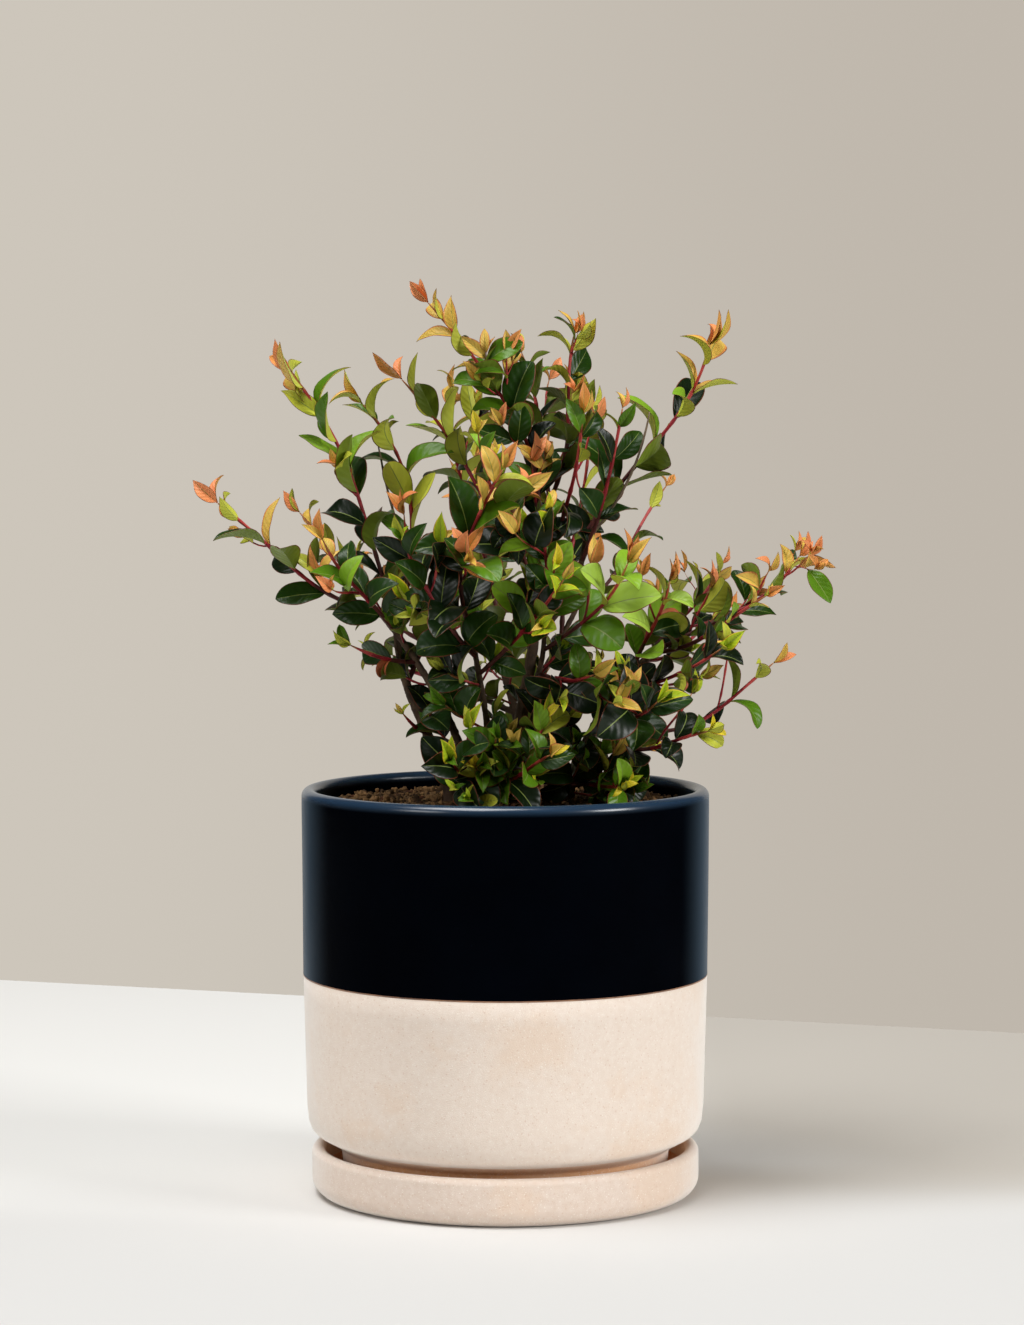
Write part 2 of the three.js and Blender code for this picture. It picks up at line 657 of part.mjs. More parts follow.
// Whether two corners of a solid all but meet
function crowded(solid) {
  const { array, count } = toGeometry(solid).attributes.position;
  const corners = [];
  for (let i = 0; i < count; i++) corners.push(new THREE.Vector3().fromArray(array, 3 * i));
  return corners.some((a, i) => corners.slice(i + 1).some((b) => a.distanceTo(b) < TOO_CLOSE));
}

// A twig turned a little on its own axis until it joins without crowded corners
function joinTwig(line, join) {
  for (const nudge of NUDGES) {
    const whole = join(tube(line, 0, 1, line.radiusAt, TWIG_SIDES, line.steps, line.turn + nudge));
    if (!crowded(whole)) return whole;
  }
  throw new Error('a twig has no clean joint');
}

function woodOf(spray) {
  const stem = joinTwig(spray.line, (twig) => twig.subtract(spray.parent.fat));
  return spray.twigLines.reduce((whole, line) => joinTwig(line, (twig) => whole.add(twig)), stem);
}

// The space a spray's leaves can reach, as a box
function spaceOf(spray) {
  const box = spray.solid.boundingBox();
  const reach = spray.leaf * SIZE_VARY[1];
  return { min: box.min.map((v) => v - reach), max: box.max.map((v) => v + reach) };
}

// A leaf that would touch a limb or another spray, or that joins badly, is left out
function finishSpray(spray, others) {
  const space = spaceOf(spray);
  const near = others.filter((solid) => boxesMeet(solid.boundingBox(), space));
  for (const leaf of spray.leaves) {
    const padded = leafSolid(leaf, GAP);
    if (near.some((solid) => cuts(padded, solid))) continue;
    const grown = spray.solid.add(leafSolid(leaf, 0));
    if (!crowded(grown)) spray.solid = grown;
  }
  spray.solid = largestBody(spray.solid);
}

function makeSprays() {
  for (const limb of limbs.values()) {
    addStemSpots(limb.name, limb.line, (t) => limbRadius(limb, t, 0));
  }
  const sprays = SPRAYS.map(startSpray);
  sprays.forEach(branchSpray);
  sprays.forEach(leafSpray);
  for (const spray of sprays) spray.solid = woodOf(spray);
  const limbSolids = [...limbs.values()].map((limb) => limb.solid);
  for (const spray of sprays) {
    const others = sprays.filter((other) => other !== spray).map((other) => other.solid);
    finishSpray(spray, [...others, ...limbSolids]);
    addMesh(spray.name, toGeometry(spray.solid), TINTS[spray.tint], LEAF_ROUGHNESS);
  }
}

addMesh('saucer', turned(saucerProfile()), CLAY, CLAY_ROUGHNESS);
addMesh('pot', turned(potProfile()), GLAZE, GLAZE_ROUGHNESS);
addMesh('soil', turned(soilProfile()), EARTH, EARTH_ROUGHNESS);
makeLimbs();
for (const limb of limbs.values()) {
  addMesh(limb.name, toGeometry(limb.solid), BARK, BARK_ROUGHNESS);
}
makeSprays();

export default plant;
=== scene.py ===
"""A potted crape myrtle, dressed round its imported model: pot, saucer, soil, bark, twigs and leaves."""
import itertools
import math

import bpy
import numpy as np
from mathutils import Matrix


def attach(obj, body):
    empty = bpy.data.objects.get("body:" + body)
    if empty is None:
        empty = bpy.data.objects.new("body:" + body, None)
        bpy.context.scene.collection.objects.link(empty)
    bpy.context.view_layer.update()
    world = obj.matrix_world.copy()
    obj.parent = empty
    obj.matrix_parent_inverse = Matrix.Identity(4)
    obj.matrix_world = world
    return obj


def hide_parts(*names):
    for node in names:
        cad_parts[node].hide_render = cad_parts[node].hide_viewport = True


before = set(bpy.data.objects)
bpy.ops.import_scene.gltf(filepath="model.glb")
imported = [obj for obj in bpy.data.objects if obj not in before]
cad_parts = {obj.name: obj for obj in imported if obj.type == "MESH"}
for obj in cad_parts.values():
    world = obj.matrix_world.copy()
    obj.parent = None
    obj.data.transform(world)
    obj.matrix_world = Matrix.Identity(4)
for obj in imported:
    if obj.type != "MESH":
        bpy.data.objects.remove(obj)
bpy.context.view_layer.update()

# Lengths are in millimetres, as in the part's source, and every mesh is made in metres
MM = 0.001
TURN = 2 * math.pi
QUARTER = math.pi / 2
UP = np.array([0.0, 0.0, 1.0])
BACK = np.array([0.0, 1.0, 0.0])

# Saucer
GAP = 0.3
SAUCER_RADIUS = 121
SAUCER_HEIGHT = 30
SAUCER_WALL = 8.6
SAUCER_FLOOR = 9.5
SAUCER_FOOT_RADIUS = 110
SAUCER_HEEL = 11
SAUCER_COVE = 7
SAUCER_COVE_STEPS = 8
HEEL_STOP = 2
HEEL_RUN = 6
HEEL_STEPS = 12
LIP_STEPS = 18

# Pot
POT_TOP = 253.7
RIM_RADIUS = 127
RIM_ROUND = 4.6
GLAZE_LINE = 137.2
GLAZE_LINE_RADIUS = 126.1
SHOULDER_RADIUS = 124
SHOULDER_HEIGHT = 56
CORNER_RADIUS = 121
CORNER_HEIGHT = 41.4
CORNER_ROUND = 5
COVE_RADIUS = 110.5
COVE_HEIGHT = 34.3
FOOT_RADIUS = 102.5
FOOT_TOP = 29.5
POT_FOOT_STEPS = 7
CLAY_STEPS = 6
RIM_STEPS = 20
RIM_CLAY_STEPS = 12
RIM_CORE_STEPS = 8
FOOT_DRAFT = 1.5
POT_BASE = SAUCER_FLOOR + GAP
POT_FLOOR = 20
POT_WALL = 9.4
INSIDE_FOOT_RADIUS = FOOT_RADIUS - POT_WALL
LATHE_SIDES = 144
AXIS_RADIUS = 1
GLAZE_COAT = 0.45
GLAZE_BEAD = 0.5
GLAZE_THIN = 0.9
GLAZE_INSIDE_END = 232
RIM_SHEEN = (0.247, 0.252)
GLAZE_WALL = (2, 12, 9)
GLAZE_INSIDE_START = 10
GLAZE_INSIDE_EDGES = (-0.2, 1.2)
GLAZE_PROUD = 0.1
CLAY_WALL_STOP = 20
CLAY_WALL_POINTS = 6
FOOT_BEVEL = 2
SOFT_EDGE = 1
INSIDE_BENDS = (-1, 4, 6)
HAND_WOBBLE = 0.12
WOBBLE_SIZE = 90
WOBBLE_SEED = 5

# Potting soil
SOIL_TOP = 243
SOIL_EDGE_DROP = 2
SOIL_EDGE_WIDTH = 10
SOIL_EDGE_STEPS = 5
SOIL_EDGE_ROUND = 1.6
SOIL_EDGE_CLEARANCE = 0.6
HAIR = 0.01
SOIL_RING_STEP = 1.6
SOIL_RELIEF = 1.3
SOIL_WAVES = ((0.55, 1, 17, 31), (0.4, 1, 6, 32), (0.3, 1, 2.6, 33))
CRUMBS = 2300
CRUMB_SIZE = (0.7, 2.6)
CRUMB_RELIEF = 0.28
CRUMB_BUMPS = (2, 5)
CRUMB_SQUASH = (0.6, 1.2)
CRUMB_LIFT = 0.25
CHIPS = 130
CHIP_SIZE = (3.0, 6.5)
CHIP_FLATNESS = 0.5
CHIP_SQUASH = (0.25, 1.0)
CRUMB_SPREAD = 114
CRUMB_SEED = 71
CHIP_SEED = 72
CRUMB_LOOK_SEED = 77

# Limbs
LIMB_SIDES = 22
LIMB_STEP = 1.8
LIMB_TAPER_FROM = 0.9
FLARE = 0.75
FLARE_HEIGHT = 7
SWAY = 0.025
STEEP = 0.7
NEARBY = 0.01
SUNK = 6
BARK_RELIEF = 0.09
BARK_WAVES = ((1, 0.22, 2.4, 41), (0.6, 0.5, 1.3, 42), (0.5, 1, 14, 43))
LIVING_TIP = 0.85
DEAD_TIP = 0.6

# Twigs: the main stem of a spray and the side twigs on it
FIRST_SEED = 41
TWIG_STEP = 42
STEM_RADIUS = 1.5
STEM_SHARE = 0.9
SIDE_TWIG_RADIUS = 1.05
SIDE_SHARE = 0.62
TIP_RADIUS = 0.75
SIDE_SPACING = 1.4
SIDE_SHIFT = 0.04
SIDE_SPREAD = (0.65, 0.85)
SIDE_LENGTH = (34, 50)
SIDE_SAG = 0.06
SIDE_TURNS = (0, 1, -1, 2, -2, 3)
SIDE_ROOM = 3
ROOM_CHECKS = (0.35, 0.5, 0.65, 0.8, 1)
SPOT_STEP = 5
RIM_CLEARANCE = 2
WALL_CLEARANCE = 4
LEAF_SEED = 1000
LIFT = 0.22

# Drawn twigs
TWIG_SIDES = 8
TWIG_RING_STEP = 4
KNUCKLE = 0.3
KNUCKLE_WIDTH = 1.6
TIP_ROOM = 11
TIP_ROOM_SHARE = 0.2
TIP_LENGTH = 8
TIP_SHARE = 0.45
TWIG_AGES = (0.4, 0.72, 0.92)

# Fine shoots in the axils of the leaves, along the limbs and low over the soil
SHOOT_SHARE = 0.36
SHOOT_ABOVE = 1
SHOOT_LENGTH = (13, 30)
SHOOT_SPREAD = (0.5, 0.9)
SHOOT_RADIUS = 0.7
SHOOT_THICKNESS = 0.6
SHOOT_TAPER = 0.45
SHOOT_UNTIL = 0.8
SHOOT_LEAF = 0.76
SHOOT_AGE = 0.5
SHOOT_BARK_AGE = 0.6
LIMB_SHOOTS_FROM = 0.08
LIMB_SHOOT_SPACING = 21
LIMB_SHOOT_LENGTH = (20, 36)
LIMB_LEAF = (20, 28)
LIMB_BARK_AGE = 0.3
INNER_REACH = 260
LOW_INTERNODE = 0.6
LOW_AGES = {"lime": 0.8, "dark": 0.1}
LOW_BARK_AGE = 0.75
LOW_ORDER = -100
FOLIAGE_SEEDS = 7
LIMB_SEEDS = 19
LOW_SEEDS = 29

# Leaves
INTERNODE = 19
BARE_FOOT = 7
PAIR_OFFSET = 0.3
PAIR_STAGGER = 2.5
LAST_PAIR = 0.93
PAIR_TWIST = 0.35
SPREAD_OLD = 1.12
SPREAD_YOUNG = 0.6
SPREAD_VARY = 0.2
YOUNG_FROM = 0.6
YOUNG_AT_LEAST = 0.8
YOUNG_SIZE = 0.74
YOUNG_WIDTH = 0.46
SIZE_VARY = (0.78, 1.14)
BLADE_WIDTH = 0.63
SLENDER = ("olive", "copper")
SLENDER_WIDTH = 0.8
SLENDER_LENGTH = 1.05
WIDTH_VARY = 0.12
TILT = 0.75
FACE_UP = 0.4
FACE_OUT = 0.8
TO_LIGHT = np.array([0.15, -0.6, 0.2])
SIDE_LEAF = 0.96
SIDE_AGE = 0.35
GROWN = 1.2
LEAF_TURNS = (0, 0.5, -0.5, 1.1, -1.1)
LEAF_CHECKS = (0.3, 0.6, 0.95)
LEAF_ROOM = 0.15
MOST_PLACES = 30000
STEM_ROOM = 1.6
LEAF_SUNK = 0.5
LEAF_THICKNESS = 0.34
FOLD = (0.3, 0.85)
YOUNG_FOLD = (0.1, 0.5)
CURL = (0.3, 1.8)
RISE = (0.1, 0.45)
TWIST = 0.9
BLUNT = (0.62, 0.95)
YOUNG_BLUNT = 0.4
LANCES = (2, 3)
UPRIGHT = {"length": (0.45, 0.74), "width": 0.42, "spread": (0.05, 0.25), "curl": 0.5}
LANCE = {"length": (0.42, 0.68), "width": 0.36, "spread": (0.3, 0.75), "curl": 1.1}
DRY_WIDTH = 0.5
DRY_SPREAD = 0.9
DRY_TILT = 0.3
DRY_SHAPE = {"fold": 1.6, "curl": 2.6, "twist": 1.4}
DARK_TONES = ("deep green", "dark green", "blue green")
YOUNG_TONES = ("golden", "copper", "orange", "yellow")
FINE_FROM = 14

# Unevenness made of waves that run in chance directions
WAVES = 7
WAVES_HEIGHT = 3
WAVES_VARY = (0.6, 1.5)


def between(roll, low, high):
    """A number between two others, from the next random draw."""
    return low + (high - low) * roll()


def mix(low, high, share):
    return low + (high - low) * share


def unit(vector):
    return vector / np.linalg.norm(vector)


# The growth rule of the part's source, so that the twigs here are the solids' own twigs
def dice(seed):
    """Random numbers from a seed, the same ones that the part's source draws."""
    state = seed
    whole = 0xFFFFFFFF

    def roll():
        nonlocal state
        state = (state + 0x6D2B79F5) & whole
        value = ((state ^ (state >> 15)) * (state | 1)) & whole
        value ^= (value + (((value ^ (value >> 7)) * (value | 61)) & whole)) & whole
        return ((value ^ (value >> 14)) & whole) / 2**32

    return roll


class Line:
    """A curved middle line with its length, and the two directions across it."""

    def __init__(self, start, tip, bow, roll):
        self.start = np.array(start, float)
        self.reach = np.array(tip, float) - self.start
        self.length = np.linalg.norm(self.reach)
        self.bow = np.array(bow, float)
        self.guide = BACK if abs(self.reach[2]) > STEEP * self.length else UP
        self.internode = INTERNODE
        self.drawn = 1 - min(TIP_ROOM / self.length, TIP_ROOM_SHARE)
        self.sway = np.zeros(3)
        turn = between(roll, 0, TURN)
        self.sway = self.across(0.5, turn) * SWAY * self.length

    def point(self, t):
        place = self.start + self.reach * t + self.bow * 4 * t * (1 - t)
        return place + self.sway * math.sin(TURN * t)

    def on_twig(self, t):
        """The same place on the straight runs between the bends of the solid twig."""
        run = min(self.steps - 1, math.floor(t * self.steps))
        low = self.point(run / self.steps)
        high = self.point((run + 1) / self.steps)
        return mix(low, high, t * self.steps - run)

    def pairs(self):
        """How far each pair of leaves is from the foot."""
        run = self.drawn * self.length - BARE_FOOT
        count = max(1, round(run / self.internode))
        return [BARE_FOOT + run * (i + PAIR_OFFSET) / count for i in range(count)]

    def along(self, t):
        return unit(self.point(t + NEARBY) - self.point(t - NEARBY))

    def across(self, t, angle):
        along = self.along(t)
        side = unit(np.cross(along, self.guide))
        return side * math.cos(angle) + np.cross(side, along) * math.sin(angle)


def stem(name, foot, tip, bow, radius):
    """A stem stands on the soil: its foot, its tip, how far it bows, its radius at foot and tip."""
    return dict(name=name, on=None, foot=(*foot, SOIL_TOP), tip=tip, bow=bow, radius=radius)


def bough(name, on, at, tip, bow, radius):
    """A bough leaves a stem or another bough at a share of that one's length."""
    return dict(name=name, on=on, at=at, tip=tip, bow=bow, radius=radius)


def spray(name, on, at, tip, bow, leaf, twigs, tint):
    """A leafy spray also has the length of its leaves, its number of side twigs and its tint."""
    return dict(name=name, on=on, at=at, tip=tip, bow=bow, leaf=leaf, twigs=twigs, tint=tint)


LIMBS = [
    stem("left_stem", (-32, 8), (-68, -8, 356), (-4, -4, 0), (3.8, 2)),
    stem("left_low_stem", (-16, -14), (-78, -21, 364), (6, -2, 6), (2.8, 1.8)),
    stem("inner_left_stem", (-8, -27), (-21, -36, 352), (3, 2, 0), (2.4, 1.6)),
    stem("centre_stem", (7, 2), (14, 0, 392), (3, 3, 0), (4.6, 2.6)),
    stem("right_stem", (36, 12), (100, 2, 342), (-7, -2, 8), (4, 2.1)),
    stem("back_stem", (10, 36), (-4, 78, 352), (2, -6, 4), (3.4, 1.8)),
    bough("centre_top_bough", "centre_stem", 0.84, (28, 14, 432), (6, 5, -3), (2.2, 1.6)),
    bough("centre_right_bough", "centre_stem", 0.68, (50, 6, 412), (5, -3, -6), (2.1, 1.6)),
    bough("front_bough", "centre_stem", 0.42, (24, -36, 352), (2, -5, -5), (2, 1.5)),
    bough("right_low_bough", "right_stem", 0.3, (86, -26, 290), (0, -5, -3), (1.9, 1.4)),
    bough("right_back_bough", "right_stem", 0.48, (88, 46, 330), (0, 5, -5), (2, 1.5)),
    bough("back_left_bough", "back_stem", 0.45, (-52, 68, 340), (-2, 4, -8), (2, 1.5)),
    bough("back_right_bough", "back_stem", 0.56, (46, 80, 362), (4, 3, -6), (2, 1.5)),
    bough("dead_twig_left", "left_stem", 0.96, (-80, 20, 468), (8, 8, 0), (1.2, 0.6)),
    bough("dead_twig_right", "centre_right_bough", 0.94, (89, -12, 487), (5, -5, -5), (1.1, 0.6)),
]

SPRAYS = [
    spray("far_left", "left_low_stem", 1, (-186, -30, 439), (0, 0, -9), 23, 2, "copper"),
    spray("left_front", "left_low_stem", 0.9, (-114, -68, 420), (0, -4, -6), 24, 1, "olive"),
    spray("left_low", "left_low_stem", 0.7, (-104, -46, 350), (0, 0, -4), 27, 2, "dark"),
    spray("upper_left", "left_stem", 1, (-141, 0, 521), (12, 0, 0), 24, 2, "olive"),
    spray("left_middle", "left_stem", 0.88, (-99, 24, 502), (24, 10, 0), 24, 2, "olive"),
    spray("left_inside", "left_stem", 0.66, (-28, -8, 396), (0, 4, -6), 26, 1, "dark"),
    spray("left_foot", "left_stem", 0.4, (-66, -30, 306), (0, 0, -3), 24, 1, "dark"),
    spray("high_left", "centre_stem", 0.96, (-74, 28, 517), (8, 6, -4), 24, 2, "olive"),
    spray("top_left", "centre_stem", 1, (-57, 0, 564), (28, 0, 4), 23, 4, "copper"),
    spray("top_middle", "centre_top_bough", 1, (45, 20, 546), (3, 0, 0), 23, 3, "copper"),
    spray("top_back", "centre_top_bough", 0.8, (6, 60, 536), (4, 6, -6), 22, 2, "olive"),
    spray("top_front", "centre_top_bough", 0.6, (48, -44, 498), (2, -4, -8), 24, 2, "copper"),
    spray("upper_right", "centre_right_bough", 1, (130, 10, 540), (6, 0, -5), 27, 1, "olive"),
    spray("right_of_top", "centre_right_bough", 0.8, (74, -18, 502), (2, -4, -6), 24, 2, "olive"),
    spray("yellow_bud", "centre_stem", 0.9, (-18, -52, 486), (0, -4, -8), 23, 2, "lime"),
    spray("front_left", "inner_left_stem", 1, (5, -92, 463), (-15, 0, 0), 28, 2, "copper"),
    spray("left_of_front", "inner_left_stem", 0.86, (-66, -82, 420), (0, -4, -8), 27, 2, "dark"),
    spray("front_middle", "front_bough", 1, (27, -84, 438), (0, -4, -4), 24, 2, "lime"),
    spray("front_low", "inner_left_stem", 0.76, (41, -98, 396), (0, 0, -5), 25, 1, "lime"),
    spray("front_right", "front_bough", 0.84, (78, -76, 408), (4, 0, -9), 28, 1, "light"),
    spray("front_heart", "front_bough", 0.56, (62, -72, 332), (0, 0, -6), 27, 2, "dark"),
    spray("middle_low", "centre_stem", 0.3, (46, -44, 304), (0, 0, -4), 26, 2, "dark"),
    spray("far_right", "right_stem", 1, (189, 0, 409), (4, 0, -10), 21, 4, "copper"),
    spray("right_front", "right_stem", 0.93, (168, -38, 380), (0, -4, -5), 21, 2, "olive"),
    spray("right_upper", "right_stem", 0.86, (142, 44, 402), (0, 4, -6), 21, 2, "copper"),
    spray("right_middle", "right_stem", 0.76, (104, -26, 396), (0, -3, -6), 26, 2, "light"),
    spray("right_lower", "right_stem", 0.62, (138, -56, 349), (0, -3, -6), 25, 2, "dark"),
    spray("right_heart", "right_stem", 0.42, (98, -66, 318), (0, -3, -6), 29, 2, "dark"),
    spray("right_low", "right_low_bough", 1, (174, -22, 340), (4, 0, -9), 22, 3, "copper"),
    spray("right_lowest", "right_low_bough", 0.5, (130, -78, 296), (0, 0, -4), 25, 1, "lime"),
    spray("rim_right", "right_stem", 0.18, (97, 34, 274), (0, 0, 2), 27, 2, "dark"),
    spray("soil_right", "right_stem", 0.08, (78, -56, 264), (0, 0, -2), 22, 1, "lime"),
    spray("low_front", "inner_left_stem", 0.16, (34, -84, 284), (0, 0, -3), 23, 1, "lime"),
    spray("low_left", "left_low_stem", 0.1, (-36, -72, 282), (0, 0, -3), 28, 1, "dark"),
    spray("back_middle", "back_stem", 1, (-22, 152, 468), (0, 8, -10), 24, 2, "copper"),
    spray("back_high", "back_stem", 0.84, (-34, 96, 512), (-4, 8, 0), 24, 2, "olive"),
    spray("back_low", "back_stem", 0.4, (16, 138, 332), (0, 4, -9), 26, 1, "dark"),
    spray("back_left", "back_left_bough", 1, (-142, 112, 432), (0, 0, -9), 24, 2, "copper"),
    spray("back_left_low", "back_left_bough", 0.64, (-96, 122, 338), (0, 0, -6), 26, 1, "dark"),
    spray("back_right", "back_right_bough", 1, (112, 140, 448), (0, 0, -8), 24, 2, "olive"),
    spray("back_right_high", "back_right_bough", 0.72, (56, 102, 500), (0, 4, -6), 24, 2, "olive"),
    spray("back_right_low", "right_back_bough", 1, (150, 112, 366), (0, 4, -7), 24, 2, "copper"),
]
HEART = np.array([0.0, 0.0, SOIL_TOP])

# How leafy a spray is: usual at 1, sparse at 0, barer below
FULLNESS = {
    "far_left": 1, "left_front": 0, "left_low": -3, "left_foot": -2, "left_inside": 0.3,
    "upper_left": 0.5, "left_middle": 0.3, "high_left": 0.3, "top_middle": 0.5, "top_back": 0,
    "top_front": -0.3, "upper_right": 0.6, "right_of_top": -0.6, "front_right": 0.3, "far_right": 0.5,
    "right_front": 0, "right_upper": 0.2, "right_middle": 0.3, "right_lower": 0.3, "right_heart": 0.8,
    "right_low": -0.4, "right_lowest": -0.3, "rim_right": 0.9, "yellow_bud": 0.6, "middle_low": 0.8,
    "back_high": 0.3, "back_low": 0.4, "back_left": 0.3, "back_left_low": -2, "back_right": -1,
    "back_right_high": -0.4, "back_right_low": 0.4, "low_left": 0.7, "top_left": 1.5,
}
# How large its leaves are, and how far apart its pairs are, against the usual
LARGE_LEAVES = {
    "upper_right": 1.2, "top_middle": 1.15, "top_left": 1.15, "upper_left": 1.38, "left_middle": 1.32,
    "high_left": 1.3, "far_right": 1.2, "front_right": 1.1, "front_left": 1.1, "left_low": 0.9,
    "left_foot": 0.6, "far_left": 1.3, "back_left_low": 0.68, "back_right": 0.75, "right_front": 0.8,
    "right_upper": 0.9, "right_middle": 0.86, "right_lowest": 0.85, "right_low": 0.95, "yellow_bud": 0.85,
}
WIDE_PAIRS = {"upper_right": 1.05, "right_low": 1.15, "back_right": 1.3, "top_left": 0.75, "far_left": 1.2}
# Side twigs left out where the photo shows sky
LEFT_OUT = {
    "far_left": (0, 1), "left_low": (0, 1), "upper_left": (0, 1), "top_left": (3,), "top_front": (0,),
    "upper_right": (0,), "right_of_top": (0, 1), "high_left": (0,), "left_middle": (1,), "top_middle": (2,),
    "right_upper": (1,), "far_right": (1,), "right_front": (0, 1), "right_low": (0, 2), "back_left": (1,),
    "back_left_low": (0,), "back_right": (0, 1), "back_high": (1,),
}
# Sprays in shade, whose leaves take darker tones nearer to the tip: painted shade in the leaves' colour
PAINTED_SHADE_SPRAYS = {
    "top_back": 0.5, "right_of_top": 0.65, "high_left": 0.85, "top_front": 0.8, "top_middle": 0.95,
    "top_left": 0.95, "yellow_bud": 0.6, "right_lower": 0.7, "right_heart": 0.6, "rim_right": 0.6,
    "low_left": 0.6, "middle_low": 0.6,
}
SPARSE_SIDES = 0.35
SPARSE_STEM = 0.85
# Dried leaves: the spray, the share of its length, the angle round it, the leaf's length and tone
DRY_LEAVES = (
    ("yellow_bud", 0.62, 3.6, 19, "dry brown"),
    ("yellow_bud", 0.5, 4.4, 15, "dry brown"),
    ("right_middle", 0.55, 3.2, 22, "dry orange"),
    ("right_lower", 0.5, 5.0, 16, "dry orange"),
    ("left_low", 0.3, 4.7, 14, "dry orange"),
)
# Low shoots: the limb, the share of its length, the angle round it, how far the shoot leans from it,
# its length, the length of its leaves, its tint and the tone at its tip
LOW_SHOOTS = (
    ("inner_left_stem", 0.1, 5.1, 1.0, 42, 22, "lime", "yellow"),
    ("inner_left_stem", 0.12, 4.18, 0.8, 52, 24, "lime", "golden"),
    ("inner_left_stem", 0.03, 5.1, 1.45, 46, 16, "lime", "lime"),
    ("centre_stem", 0.05, 4.4, 1.4, 58, 17, "lime", "lime"),
    ("right_stem", 0.1, 4.7, 1.1, 52, 28, "dark", "mid green"),
    ("right_stem", 0.2, 4.9, 1.2, 50, 28, "dark", "mid green"),
    ("right_stem", 0.14, 3.9, 1.2, 56, 27, "dark", "olive green"),
    ("centre_stem", 0.09, 4.5, 1.2, 60, 27, "dark", "mid green"),
    ("inner_left_stem", 0.26, 4.6, 1.1, 42, 27, "dark", "mid green"),
    ("left_low_stem", 0.1, 4.5, 1.2, 50, 28, "dark", "mid green"),
    ("inner_left_stem", 0.45, 5.9, 1.1, 40, 27, "dark", "mid green"),
    ("inner_left_stem", 0.7, 5.7, 1.2, 36, 28, "dark", "olive green"),
    ("left_stem", 0.44, 4.0, 1.2, 36, 26, "dark", "mid green"),
    ("right_stem", 0.06, 3.6, 1.3, 58, 28, "dark", "mid green"),
    ("back_stem", 0.5, 5.6, 1.2, 44, 26, "dark", "mid green"),
)
LEAFY_LIMBS = ("inner_left_stem", "centre_stem", "front_bough", "right_stem", "left_low_stem", "back_stem")


def limb_radius(limb, t):
    height = t * limb["line"].length
    flare = 1 if limb["on"] else 1 + FLARE * math.exp(-max(0, height) / FLARE_HEIGHT)
    return mix(*limb["radius"], t) * flare


def grow_limbs():
    limbs = {}
    for order, row in enumerate(LIMBS):
        foot = limbs[row["on"]]["line"].point(row["at"]) if row["on"] else row["foot"]
        line = Line(foot, row["tip"], row["bow"], dice(order + 1))
        limbs[row["name"]] = {**row, "line": line}
    return limbs


class Spots:
    """Places along stems, each with its radius and the node it belongs to."""

    def __init__(self):
        self.places = np.zeros((0, 3))
        self.radii = np.zeros(0)
        self.nodes = np.zeros(0, int)

    def add(self, node, line, radius_at):
        steps = math.ceil(line.length / SPOT_STEP)
        shares = [i / steps for i in range(steps + 1)]
        self.places = np.vstack([self.places, [line.point(t) for t in shares]])
        self.radii = np.append(self.radii, [radius_at(t) for t in shares])
        self.nodes = np.append(self.nodes, [node] * len(shares))

    def clear_of(self, place, node, room):
        far = np.linalg.norm(self.places - place, axis=1) > self.radii + room
        return bool(np.all(far | (self.nodes == node)))


def in_the_open(spot):
    inside = math.hypot(spot[0], spot[1]) < RIM_RADIUS - 2 * RIM_ROUND - WALL_CLEARANCE
    over_rim = spot[2] > POT_TOP + RIM_CLEARANCE
    return over_rim or (inside and spot[2] > SOIL_TOP + RIM_CLEARANCE)


def twig_radius(thick):
    return lambda t: mix(thick, min(thick, TIP_RADIUS), t)


def start_spray(row, order, limbs, spots):
    """The main stem of a spray."""
    roll = dice(FIRST_SEED + order)
    parent = limbs[row["on"]]
    line = Line(parent["line"].point(row["at"]), row["tip"], row["bow"], roll)
    line.radius_at = twig_radius(min(STEM_RADIUS, STEM_SHARE * limb_radius(parent, row["at"])))
    line.steps = max(2, round(line.length / TWIG_STEP))
    line.internode = INTERNODE * WIDE_PAIRS.get(row["name"], 1)
    spots.add(order, line, line.radius_at)
    return {**row, "order": order, "roll": roll, "line": line, "sides": []}


def side_twig_from(start, line, t, angle, spread, length, sway_seed):
    direction = line.along(t) * math.cos(spread) + line.across(t, angle) * math.sin(spread)
    direction = unit(direction + UP * LIFT)
    tip = start + direction * length
    side = Line(start, tip, (0, 0, -SIDE_SAG * length), dice(sway_seed))
    side.steps = 1
    return side


def side_twig(line, t, angle, spread, length, sway_seed):
    side = side_twig_from(line.on_twig(t), line, t, angle, spread, length, sway_seed)
    side.radius_at = twig_radius(min(SIDE_TWIG_RADIUS, SIDE_SHARE * line.radius_at(t)))
    return side


def twig_has_room(node, line, farthest, spots):
    """A side twig keeps clear of other limbs and within the reach of its spray's own tip."""
    if np.linalg.norm(line.point(1) - HEART) > farthest:
        return False
    places = [line.point(t) for t in ROOM_CHECKS]
    return all(in_the_open(p) and spots.clear_of(p, node, SIDE_ROOM) for p in places)


def branch_spray(spray, spots):
    """Side twigs leave the main stem at even shares, each turned to the first side with room."""
    roll, line = spray["roll"], spray["line"]
    farthest = np.linalg.norm(line.point(1) - HEART)
    for k in range(spray["twigs"]):
        t = (k + 1) / (spray["twigs"] + SIDE_SPACING) + between(roll, -SIDE_SHIFT, SIDE_SHIFT)
        angle = between(roll, 0, TURN)
        spread = between(roll, *SIDE_SPREAD)
        length = between(roll, *SIDE_LENGTH)
        sway_seed = math.floor(between(roll, 0, LEAF_SEED))
        for turn in SIDE_TURNS:
            side = side_twig(line, t, angle + turn, spread, length, sway_seed)
            if twig_has_room(spray["order"], side, farthest, spots):
                side.foot_share = t
                spray["sides"].append(side)
                spots.add(spray["order"], side, side.radius_at)
                break


